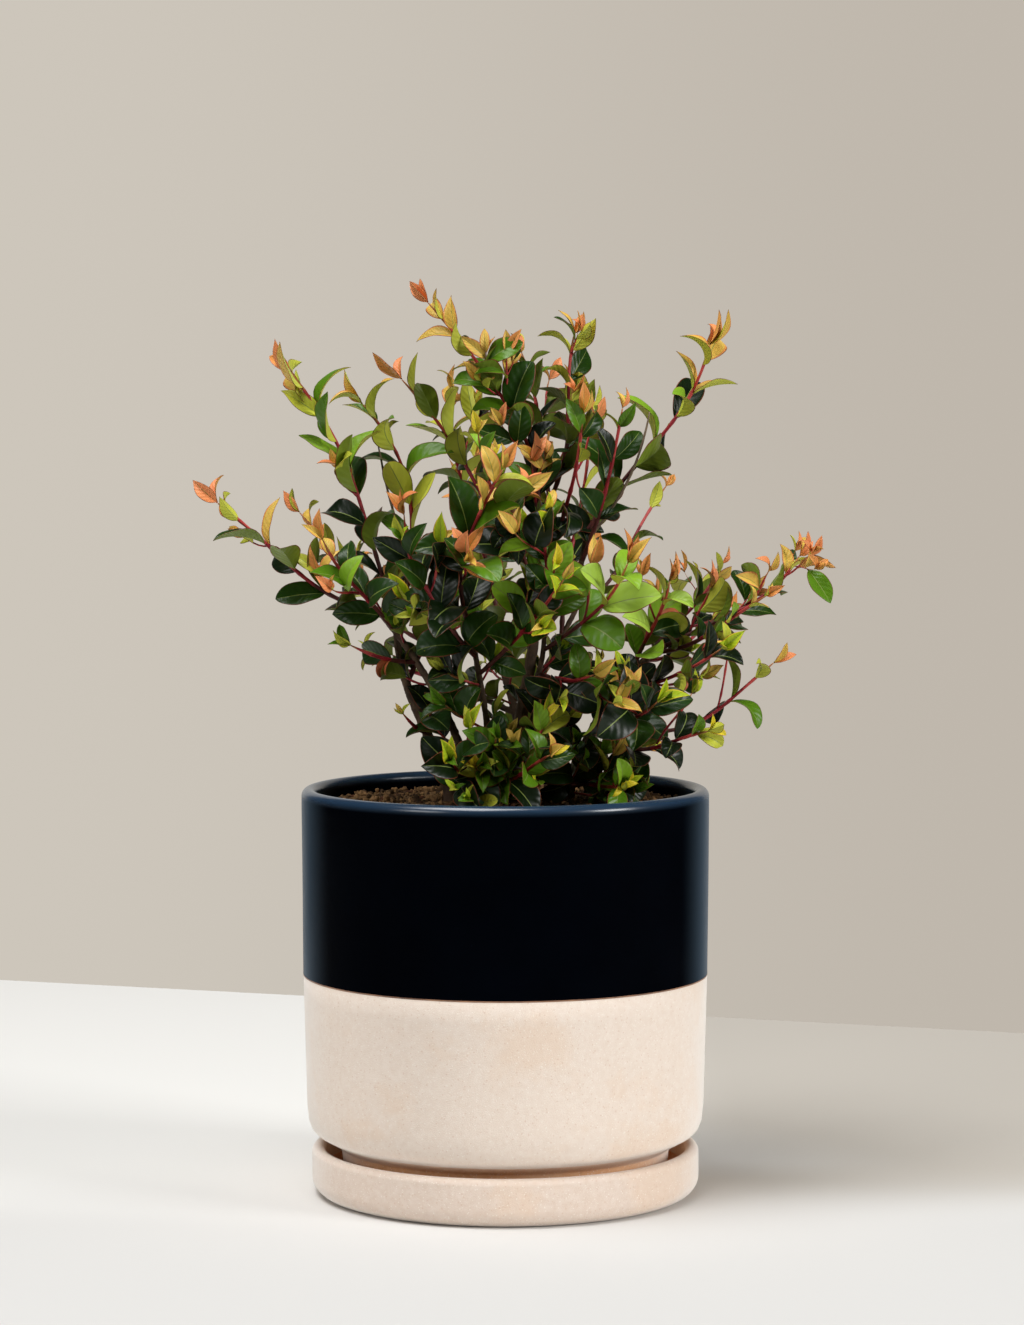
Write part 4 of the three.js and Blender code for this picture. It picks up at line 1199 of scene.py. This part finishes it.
def blade_points(leaves, form):
    """Points of many blades at once, in rings from stalk to tip."""
    get = lambda key: np.array([leaf[key] for leaf in leaves])[:, None]
    root, along, face, side = (get(key) for key in ("root", "along", "face", "side"))
    length, width, fold, curl = (get(key) for key in ("length", "width", "fold", "curl"))
    rise, twist, wave, blunt = (get(key) for key in ("rise", "twist", "wave", "blunt"))
    s = np.array(form["stations"])[None]
    bend = rise - curl * s
    forward = length * (np.sin(rise) - np.sin(bend)) / curl
    height = length * (np.cos(bend) - np.cos(rise)) / curl
    middle = root + along * forward[..., None] + face * height[..., None]
    normal = face * np.cos(bend)[..., None] - along * np.sin(bend)[..., None]
    turn = (twist * s**2)[..., None]
    across = side * np.cos(turn) + normal * np.sin(turn)
    normal = normal * np.cos(turn) - side * np.sin(turn)
    body = np.clip((s - BLADE_FROM) / (1 - BLADE_FROM), 0, 1)
    full = (BASE_ROUND / (BASE_ROUND + blunt)) ** BASE_ROUND * (blunt / (BASE_ROUND + blunt)) ** blunt
    half = np.maximum(mix(STALK, STALK_TIP, s), width / 2 * body**BASE_ROUND * (1 - body) ** blunt / full)
    half = np.where(s < STALK_UNTIL, np.minimum(half, STALK), half)
    half = np.where(s > POINT_FROM, POINT_WIDTH, half)
    u = np.array((*form["top"], *form["under"]))[None, None]
    lower = np.arange(u.size) >= len(form["top"])
    w = half[..., None]
    ripple = RIPPLE * np.sin(RIPPLES * s + wave)[..., None] * u**2
    rest = w * np.abs(u) * fold[..., None] - FOLD_ROUND * w * fold[..., None] * u**2 + w * ripple
    thick = LEAF_THICKNESS * (TIP_THINNESS + (1 - TIP_THINNESS) * (1 - s)[..., None])
    rest = rest - np.where(lower, thick, 0) - np.where(np.abs(u) == 1, thick / 2, 0)
    points = middle[:, :, None] + across[:, :, None] * (w * u)[..., None]
    points = points + normal[:, :, None] * rest[..., None]
    return points, np.stack(np.broadcast_arrays(s[..., None], u + 0 * w), -1)


def blade_faces(rings, sides, top):
    """Triangles cut along the same diagonals above and below, so that the two sides never cross."""
    quads = ring_faces(rings, sides)
    a, b, c, d = quads.T
    above = (np.arange(len(quads)) % sides < top - 1)[:, None, None]
    over = np.stack([np.stack([a, b, c], -1), np.stack([a, c, d], -1)], 1)
    under = np.stack([np.stack([a, b, d], -1), np.stack([b, c, d], -1)], 1)
    return np.where(above, over, under).reshape(-1, 3)


def underside(leaf):
    if leaf["tone"] in ("copper", "orange"):
        return "copper underside"
    return "dull underside" if leaf["tone"] in DARK_TONES else "bright underside"


def add_blades(skin, leaves, form, names):
    """Blades of one form in their tones above and below; fine ones also have a margin and a midrib."""
    if not leaves:
        return
    points, spots = blade_points(leaves, form)
    rings, sides = points.shape[1:3]
    look_of = lambda tones: np.array([names.index(tone) for tone in tones])[:, None]
    tones = look_of(leaf["tone"] for leaf in leaves)
    below = np.arange(sides) >= len(form["top"]) - 1
    looks = np.where(below, look_of(underside(leaf) for leaf in leaves), tones)
    if form is FINE:
        steps = np.array((*form["top"], *form["under"], form["top"][0]))
        middles = np.abs(steps[:-1] + steps[1:]) / 2
        narrow = np.abs(np.diff(steps)) < MIDRIB_STEP
        blush = look_of(BLUSH.get(leaf["tone"], leaf["tone"]) for leaf in leaves)
        looks = np.where(~below & (middles > BLUSH_FROM), blush, looks)
        looks = np.where(narrow & (middles < MIDRIB_STEP), names.index("midrib"), looks)
        looks = np.where(narrow & (middles > MIDRIB_STEP), names.index("margin"), looks)
    looks = np.repeat(np.tile(looks, (1, rings - 1)), 2, 1)
    faces = [blade_faces(rings, sides, len(form["top"])), caps(rings, sides)]
    skin.add(points.reshape(len(leaves), -1, 3), faces, np.concatenate([looks, tones, tones], 1), spots)


# Materials
FLOAT = "NodeSocketFloat"
COLOUR = "NodeSocketColor"
GREY = (0.5, 0.5, 0.5, 1.0)
STAINS = (0.55, 1.0)
# Facing mask for the clay's painted pale sheen
CLAY_PAINTED_SHEEN = (0.45, 1.0)
# Facing mask for the glaze's painted blue-grey sheen
GLAZE_PAINTED_SHEEN = (0.5, 1.05)
# How far the rim's navy is lightened, partly by thinner glaze and partly as a painted sheen
RIM_THINNING_AND_SHEEN = 0.5
VEIN_DEPTH = 0.00006
GLOSSY = (*DARK_TONES, "mid green")


def shade(red, green, blue):
    """A colour given as it shows on a screen, from 0 to 255, as the amounts of light it stands for."""
    parts = [part / 255 for part in (red, green, blue)]
    return tuple(p / 12.92 if p < 0.04 else ((p + 0.055) / 1.055) ** 2.4 for p in parts) + (1.0,)


class Nodes:
    """A short way to add and join the nodes of a material or a group."""

    def __init__(self, tree):
        self.tree = tree

    def join(self, start, end):
        self.tree.links.new(start, end)

    def add(self, kind, inputs=(), **settings):
        node = self.tree.nodes.new("ShaderNode" + kind)
        for key, value in settings.items():
            setattr(node, key, value)
        for key, value in dict(inputs).items():
            if isinstance(value, bpy.types.NodeSocket):
                self.join(value, node.inputs[key])
            else:
                node.inputs[key].default_value = value
        return node.outputs

    def math(self, operation, first, second=0.0):
        return self.add("Math", {0: first, 1: second}, operation=operation)[0]

    def mix(self, share, first, second):
        """The second colour laid over the first by a share."""
        return self.add("Mix", {0: share, 6: first, 7: second}, data_type="RGBA")[2]

    def spread(self, value, low, high, start=0.0, end=1.0, kind="LINEAR"):
        """A value between low and high, spread out between start and end."""
        return self.add("MapRange", {0: value, 1: low, 2: high, 3: start, 4: end}, interpolation_type=kind)[0]

    def soft_step(self, value, low, high):
        """A mask that goes smoothly from 0 at low to 1 at high."""
        return self.spread(value, low, high, kind="SMOOTHSTEP")

    def place(self):
        return self.add("TexCoord")["Object"]

    def place_parts(self):
        return self.add("SeparateXYZ", {0: self.place()})

    def edge(self, low, high):
        """A mask for the places where the surface turns away from the eye."""
        return self.soft_step(self.add("LayerWeight", {"Blend": 0.5})["Facing"], low, high)


def new_group(name, inputs):
    """An empty node group, and its named inputs by name."""
    tree = bpy.data.node_groups.new(name, "ShaderNodeTree")
    for label, value in inputs.items():
        kind = COLOUR if isinstance(value, tuple) else FLOAT
        tree.interface.new_socket(label, in_out="INPUT", socket_type=kind).default_value = value
    return Nodes(tree), tree.nodes.new("NodeGroupInput").outputs


def close_group(nodes, outputs):
    """Gives the group its named outputs."""
    end = nodes.tree.nodes.new("NodeGroupOutput")
    for label, socket in outputs.items():
        kind = COLOUR if socket.type == "RGBA" else FLOAT
        nodes.tree.interface.new_socket(label, in_out="OUTPUT", socket_type=kind)
        nodes.join(socket, end.inputs[label])
    return nodes.tree


def mottling_group():
    """Two colours that run into each other in soft patches."""
    inputs = {"Light": GREY, "Dark": GREY, "Patches per metre": 50.0, "Contrast": 0.3}
    nodes, given = new_group("Mottling", inputs)
    inputs = {"Vector": nodes.place(), "Scale": given["Patches per metre"], "Detail": 6.0, "Roughness": 0.6}
    noise = nodes.add("TexNoise", inputs)
    half = nodes.math("MULTIPLY", given["Contrast"], 0.5)
    mask = nodes.spread(noise[0], nodes.math("SUBTRACT", 0.5, half), nodes.math("ADD", 0.5, half))
    return close_group(nodes, {"Colour": nodes.mix(mask, given["Light"], given["Dark"]), "Mask": mask})


def speckle_group():
    """Small specks: a mask that is 1 on a speck and 0 between."""
    nodes, given = new_group("Specks", {"Specks per metre": 400.0, "Size": 0.2})
    cells = nodes.add("TexVoronoi", {"Vector": nodes.place(), "Scale": given["Specks per metre"]})
    inner = nodes.math("MULTIPLY", given["Size"], 0.6)
    return close_group(nodes, {"Mask": nodes.spread(cells["Distance"], given["Size"], inner)})


def grain_group():
    """Fine unevenness for the touch of a surface: a height, and a roughness that goes with it."""
    inputs = {"Grains per metre": 900.0, "Smoothest": 0.4, "Roughest": 0.6, "Stretch": 1.0}
    nodes, given = new_group("Grain", inputs)
    x, y, z = nodes.place_parts()
    place = nodes.add("CombineXYZ", {0: x, 1: y, 2: nodes.math("MULTIPLY", z, given["Stretch"])})
    inputs = {"Vector": place[0], "Scale": given["Grains per metre"], "Detail": 4.0, "Roughness": 0.65}
    height = nodes.add("TexNoise", inputs)[0]
    roughness = nodes.spread(height, 0.3, 0.7, given["Smoothest"], given["Roughest"])
    return close_group(nodes, {"Height": height, "Roughness": roughness})


def vein_group():
    """Side veins of a blade, from the places kept on it: a height that dips at each vein."""
    nodes, given = new_group("Leaf veins", {"Veins": 8.0, "Slant": 0.25})
    parts = nodes.add("SeparateXYZ", {0: nodes.add("UVMap", uv_map="blade")[0]})
    lean = nodes.math("MULTIPLY", nodes.math("ABSOLUTE", parts[1]), given["Slant"])
    run = nodes.math("SUBTRACT", parts[0], lean)
    turns = nodes.math("MULTIPLY", given["Veins"], TURN)
    return close_group(nodes, {"Height": nodes.math("COSINE", nodes.math("MULTIPLY", run, turns))})


MOTTLING = mottling_group()
SPECKS = speckle_group()
GRAIN = grain_group()
VEINS = vein_group()


def new_material(name, sockets):
    """A material with the plain sockets of its shader set."""
    material = bpy.data.materials.new(name)
    material.use_nodes = True
    shader = material.node_tree.nodes["Principled BSDF"].inputs
    for key, value in sockets.items():
        shader[key].default_value = value
    return material, Nodes(material.node_tree), shader


def add_grain(nodes, shader, grains, rough, stretch=1.0):
    """The surface's roughness between two limits, and the height that goes with it."""
    inputs = {"Grains per metre": grains, "Smoothest": rough[0], "Roughest": rough[1], "Stretch": stretch}
    grain = nodes.add("Group", inputs, node_tree=GRAIN)
    nodes.join(grain["Roughness"], shader["Roughness"])
    return grain["Height"]


def add_relief(nodes, shader, height, depth):
    """A fine relief; its depth is in metres."""
    relief = nodes.add("Bump", {"Strength": 1.0, "Distance": depth, "Height": height})
    nodes.join(relief[0], shader["Normal"])


def mottled(name, light, dark, patches, contrast, grains, rough, depth, stretch=1.0, **sockets):
    """A material in two tones that run into each other, with a grain that it can be felt by."""
    named = {key.replace("_", " "): value for key, value in sockets.items()}
    material, nodes, shader = new_material(name, named)
    inputs = {"Light": shade(*light), "Dark": shade(*dark)}
    inputs |= {"Patches per metre": patches, "Contrast": contrast}
    tone = nodes.add("Group", inputs, node_tree=MOTTLING)["Colour"]
    nodes.join(tone, shader["Base Color"])
    height = add_grain(nodes, shader, grains, rough, stretch)
    add_relief(nodes, shader, height, depth)
    return material, nodes, shader, tone


def clay_material(name, light, dark):
    """Bare fired clay: a fine grain, a few warm stains, specks, and a painted pale sheen where it turns away.
    """
    touch = {"grains": 1500.0, "rough": (0.78, 0.95), "depth": 0.00035, "Specular_IOR_Level": 0.25}
    material, nodes, shader, tone = mottled(name, light, dark, patches=260.0, contrast=0.4, **touch)
    patches = nodes.add("Group", {"Patches per metre": 14.0, "Contrast": 0.3}, node_tree=MOTTLING)
    dark_specks = nodes.add("Group", {"Specks per metre": 330.0, "Size": 0.2}, node_tree=SPECKS)
    light_specks = nodes.add("Group", {"Specks per metre": 450.0, "Size": 0.22}, node_tree=SPECKS)
    for mask, strength, colour in (
        (nodes.soft_step(patches["Mask"], *STAINS), 0.35, (234, 204, 176)),
        (dark_specks[0], 0.3, (206, 164, 134)),
        (light_specks[0], 0.5, (255, 248, 238)),
        # painted pale sheen where the clay turns away from the eye
        (nodes.edge(*CLAY_PAINTED_SHEEN), 0.75, (255, 250, 244)),
    ):
        tone = nodes.mix(nodes.math("MULTIPLY", mask, strength), tone, shade(*colour))
    nodes.join(tone, shader["Base Color"])
    return material


def glaze_material():
    """Satin glaze, near black, with a painted blue-grey sheen where it turns away, and a glossier, thinner
    coat on the rim, whose lighter navy is partly the thinner glaze and partly a painted sheen.
    """
    material, nodes, shader, tone = mottled(
        "navy_glaze",
        (3, 5, 10),
        (2, 3, 6),
        patches=16.0,
        contrast=0.4,
        grains=120.0,
        rough=(0.2, 0.26),
        depth=0.0001,
        Specular_IOR_Level=0.004,
        Coat_Roughness=0.24,
        Coat_IOR=1.6,
        Coat_Tint=(0.8, 0.92, 1.0, 1.0),
    )
    rim = nodes.soft_step(nodes.place_parts()[2], *RIM_SHEEN)
    nodes.join(rim, shader["Coat Weight"])
    # Painted blue-grey sheen where the glaze turns away from the eye
    tone = nodes.mix(nodes.edge(*GLAZE_PAINTED_SHEEN), tone, shade(80, 98, 114))
    # Lighter navy on the rim: partly thinner glaze, partly a painted sheen
    tone = nodes.mix(nodes.math("MULTIPLY", rim, RIM_THINNING_AND_SHEEN), tone, shade(48, 74, 100))
    nodes.join(tone, shader["Base Color"])
    return material


def thin_glaze_material():
    """The last line of the glaze, thin enough for the clay to show through."""
    touch = {"grains": 400.0, "rough": (0.4, 0.6), "depth": 0.0002}
    return mottled("thin_glaze", (176, 128, 96), (96, 66, 50), patches=60.0, contrast=0.4, **touch)[0]


def earth_material(name, light, dark):
    touch = {"grains": 800.0, "rough": (0.85, 1.0), "depth": 0.0012, "Specular_IOR_Level": 0.15}
    return mottled(name, light, dark, patches=190.0, contrast=0.45, **touch)[0]


def wood_material(name, light, dark, patches, stretch, rough, depth):
    """Bark or dead wood: tones in patches, with a fibrous relief that runs along the stem."""
    touch = {"grains": 1400.0, "rough": (rough - 0.1, rough + 0.1), "depth": depth, "stretch": stretch}
    return mottled(name, light, dark, patches, contrast=0.5, Specular_IOR_Level=0.3, **touch)[0]


def stem_material(name, light, dark, rough, depth):
    return wood_material(name, light, dark, patches=160.0, stretch=0.2, rough=rough, depth=depth)


def leaf_material(name):
    """One tone of leaf: a plain colour, side veins in relief, glossier on full-grown leaves."""
    sockets = {"Base Color": shade(*TONES[name]), "Specular IOR Level": 0.28}
    material, nodes, shader = new_material(name.replace(" ", "_"), sockets)
    add_grain(nodes, shader, 260.0, (0.3, 0.42) if name in GLOSSY else (0.38, 0.52))
    veins = nodes.add("Group", {"Veins": 7.0, "Slant": 0.25}, node_tree=VEINS)
    add_relief(nodes, shader, veins[0], VEIN_DEPTH)
    return material


def dress(piece, slot, *nodes):
    """Hides the solids that the piece stands for; the slot it is given is not used."""
    if nodes:
        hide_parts(*nodes)


def make_planter():
    clay = clay_material("pale_clay", (242, 228, 215), (236, 219, 204))
    saucer_clay = clay_material("saucer_clay_bare", (234, 218, 205), (226, 206, 190))
    # Painted warm bounce light: clay tinted orange for the shaded foot of the pot and the saucer's inner cove
    bounce_lit_clay = clay_material("bounce_lit_clay", (244, 196, 150), (232, 172, 124))
    profile = pot_profile()
    # The foot below the cove takes the painted bounce light
    foot = sum(1 for across, height in profile[:POT_FOOT_STEPS] if height < COVE_HEIGHT)
    looks = [1] * foot + [0] * (len(profile) - 1 - foot)
    dress(turned("pot_body", [clay, bounce_lit_clay], profile, looks), "saucer_clay", "pot")
    profile, thin = glaze_profile()
    looks = [1] * thin + [0] * (len(profile) - thin)
    glazes = [glaze_material(), thin_glaze_material()]
    dress(turned("pot_glazing", glazes, profile, looks, closed=True), "pot_glaze", "pot")
    profile = saucer_profile()
    # The saucer's inner cove takes the painted bounce light
    inside = SAUCER_COVE_STEPS + 1
    looks = [0] * (len(profile) - 1 - inside) + [1] * inside
    dress(turned("saucer_dish", [saucer_clay, bounce_lit_clay], profile, looks), "saucer_clay", "saucer")
    earth = earth_material("earth", (132, 100, 64), (68, 50, 32))
    dress(make_soil([earth]), "potting_soil", "soil")
    crumb_looks = [
        earth,
        earth_material("dark_crumb", (82, 60, 38), (46, 34, 24)),
        earth_material("light_crumb", (164, 126, 84), (104, 78, 52)),
        earth_material("bark_chip", (104, 66, 42), (62, 40, 28)),
    ]
    dress(make_crumbs(crumb_looks), "potting_soil")


def make_plant():
    limbs = grow_limbs()
    spots = Spots()
    for number, limb in enumerate(limbs.values()):
        spots.add(-1 - number, limb["line"], lambda t: limb_radius(limb, t))
    sprays = [start_spray(row, order, limbs, spots) for order, row in enumerate(SPRAYS)]
    for one in sprays:
        branch_spray(one, spots)
    foliage = Foliage(spots)
    grown = [twig for one in sprays for twig in dress_spray(foliage, one)]
    dry_leaves(foliage, sprays)
    grown += low_shoots(foliage, limbs)
    for number, name in enumerate(LEAFY_LIMBS):
        grown += dress_limb(foliage, limbs[name], number)
    make_wood(limbs)
    twigs = Skin()
    for line, age in grown:
        add_twig(twigs, line, age)
    twig_looks = [
        stem_material("old_red_stem", (100, 44, 38), (66, 30, 28), 0.55, 0.0002),
        stem_material("crimson_stem", (158, 38, 46), (116, 24, 34), 0.45, 0.0001),
        stem_material("coral_stem", (190, 74, 66), (160, 48, 52), 0.42, 0.0001),
        stem_material("green_tip_stem", (168, 108, 60), (140, 84, 48), 0.42, 0.0001),
    ]
    dress(twigs.piece("young_stems", twig_looks), "bark")
    make_foliage(foliage)


def make_wood(limbs):
    """The living limbs in one piece and the dead ones in another, each narrowed to its tip."""
    dead = [name for name in limbs if name.startswith("dead")]
    living = [name for name in limbs if name not in dead]
    feel = {"patches": 130.0, "stretch": 0.25, "rough": 0.8, "depth": 0.0006}
    bark = wood_material("bark", (112, 88, 68), (46, 36, 30), **feel)
    feel = {"patches": 150.0, "stretch": 0.2, "rough": 0.85, "depth": 0.0003}
    grey = wood_material("dead_wood_grey", (136, 118, 96), (92, 76, 60), **feel)
    for name, material, slot, names, narrowed in (
        ("woody_stems", bark, "bark", living, LIVING_TIP),
        ("dead_twigs", grey, "dead_wood", dead, DEAD_TIP),
    ):
        skin = Skin()
        for limb in names:
            add_limb(skin, limbs[limb], limbs[limb]["radius"][1] * narrowed)
        dress(skin.piece(name, [material]), slot, *names)


def make_foliage(foliage):
    """One piece for each tint, its long leaves drawn finer than its short ones."""
    looks = {name: leaf_material(name) for name in TONES}
    for tint in AGES:
        leaves = [leaf for leaf in foliage.leaves if leaf["tint"] == tint]
        used = {leaf["tone"] for leaf in leaves} | {underside(leaf) for leaf in leaves}
        used |= {BLUSH.get(tone, tone) for tone in used} | {"midrib", "margin"}
        names = [name for name in TONES if name in used]
        skin = Skin()
        add_blades(skin, [leaf for leaf in leaves if leaf["length"] >= FINE_FROM], FINE, names)
        add_blades(skin, [leaf for leaf in leaves if leaf["length"] < FINE_FROM], PLAIN, names)
        piece = skin.piece("leaves_" + tint, [looks[name] for name in names])
        dress(piece, "foliage_" + tint, *["spray_" + row["name"] for row in SPRAYS if row["tint"] == tint])


# Floor, backdrop, light and camera, in metres and watts
FLOOR_SIDE = 2.2
FLOOR_FRONT = -0.75
FLOOR_EDGE_LEFT = (-FLOOR_SIDE, 1.505)
FLOOR_EDGE_RIGHT = (FLOOR_SIDE, 0.003)
# Where the floor's painted shadow and painted shade fall, in metres
PAINTED_SHADOW_RIGHT = (0.0, 0.17)
PAINTED_SHADOW_BEHIND = (-0.14, 0.02)
PAINTED_SHADE_FRONT = (-0.12, 0.08)
PAINTED_SHADOW_LIFT_NEAR = (0.1, 0.3)
PAINTED_SHADOW_LIFT_BEHIND = (0.02, 0.1)
BACKDROP_AWAY = 3.2
BACKDROP_SIDES = (-1.9, 1.9)
BACKDROP_HEIGHTS = (-0.8, 2.4)
# Where the backdrop's painted shade darkens to the right
BACKDROP_SHADE = (-0.8, 0.8)
LIT_FROM = {
    "top": ((-0.9, -0.9, 4.0), 2.4, 166),
    "left": ((-3.4, -3.0, 1.9), 1.6, 50),
    "right": ((3.9, -2.0, 1.7), 1.6, 146),
}
LIT_MIDDLE = np.array([0, 0, 0.3])
LIGHT_COLOUR = (1.0, 0.995, 0.985)
ROOM_COLOUR = (0.9, 0.95, 1.0, 1.0)
ROOM_STRENGTH = 0.05
LENS = 102.7
CAMERA_PLACE = (0.0041, -2.348, 0.4767)
CAMERA_DIP = math.radians(3.54)


def flat_piece(name, corners, material):
    """A staged sheet from its corners."""
    mesh = bpy.data.meshes.new(name)
    mesh.from_pydata(corners, [], [tuple(range(len(corners)))])
    mesh.materials.append(material)
    sheet = bpy.data.objects.new(name, mesh)
    bpy.context.scene.collection.objects.link(sheet)


def floor_material():
    """Pale paper with a painted shadow to the right of the pot and behind it, less so close behind the pot,
    and painted shade towards the front.
    """
    sockets = {"Roughness": 0.8, "Specular IOR Level": 0.2}
    material, nodes, shader = new_material("floor_paper", sockets)
    across, along, _ = nodes.place_parts()
    distance = nodes.add("VectorMath", {0: nodes.place()}, operation="LENGTH")["Value"]
    close = nodes.math("SUBTRACT", 1.0, nodes.soft_step(distance, *PAINTED_SHADOW_LIFT_NEAR))
    close = nodes.math("MULTIPLY", close, nodes.soft_step(along, *PAINTED_SHADOW_LIFT_BEHIND))
    right = nodes.soft_step(across, *PAINTED_SHADOW_RIGHT)
    behind = nodes.soft_step(along, *PAINTED_SHADOW_BEHIND)
    farther = nodes.math("SUBTRACT", 1.0, close)
    shaded = nodes.math("MULTIPLY", nodes.math("MULTIPLY", right, behind), farther)
    # Painted shadow grey to the right of the pot and behind it
    tone = nodes.mix(shaded, shade(235, 234, 231), shade(197, 191, 182))
    # Painted shade towards the front, where the lamps fall brighter
    tone = nodes.mix(nodes.soft_step(along, *PAINTED_SHADE_FRONT), shade(214, 213, 211), tone)
    nodes.join(tone, shader["Base Color"])
    return material


def backdrop_material():
    """Beige paper that shines by itself as painted light, with painted shade a little darker to the right."""
    sockets = {"Base Color": (0, 0, 0, 1), "Roughness": 1, "Specular IOR Level": 0, "Emission Strength": 1}
    material, nodes, shader = new_material("backdrop_paper", sockets)
    right = nodes.soft_step(nodes.place_parts()[0], *BACKDROP_SHADE)
    nodes.join(nodes.mix(right, shade(205, 198, 187), shade(191, 183, 172)), shader["Emission Color"])
    return material


def make_stage():
    corners = [(-FLOOR_SIDE, FLOOR_FRONT), (FLOOR_SIDE, FLOOR_FRONT), FLOOR_EDGE_RIGHT, FLOOR_EDGE_LEFT]
    flat_piece("floor", [(*corner, 0) for corner in corners], floor_material())
    left, right = BACKDROP_SIDES
    low, high = BACKDROP_HEIGHTS
    corners = ((left, low), (right, low), (right, high), (left, high))
    flat_piece("backdrop", [(x, BACKDROP_AWAY, z) for x, z in corners], backdrop_material())


def softbox(name, place, size, power):
    """A square light turned to the middle of the plant."""
    data = bpy.data.lights.new(name, "AREA")
    data.size = size
    data.energy = power
    data.color = LIGHT_COLOUR
    lamp = bpy.data.objects.new(name, data)
    lamp.location = place
    x, y, z = LIT_MIDDLE - place
    lamp.rotation_euler = (QUARTER + math.atan2(z, math.hypot(x, y)), 0, math.atan2(y, x) - QUARTER)
    bpy.context.scene.collection.objects.link(lamp)


def make_light():
    for name, (place, size, power) in LIT_FROM.items():
        softbox(name, place, size, power)
    world = bpy.data.worlds.new("room")
    world.use_nodes = True
    room = world.node_tree.nodes["Background"].inputs
    room["Color"].default_value = ROOM_COLOUR
    room["Strength"].default_value = ROOM_STRENGTH
    bpy.context.scene.world = world
    bpy.context.scene.view_settings.view_transform = "Standard"


def make_camera():
    data = bpy.data.cameras.new("camera")
    data.lens = LENS
    data.sensor_width = 36
    camera = bpy.data.objects.new("camera", data)
    camera.location = CAMERA_PLACE
    camera.rotation_euler = (QUARTER - CAMERA_DIP, 0, 0)
    bpy.context.scene.collection.objects.link(camera)
    bpy.context.scene.camera = camera


make_camera()
make_light()
make_stage()
make_planter()
make_plant()

bpy.context.view_layer.update()
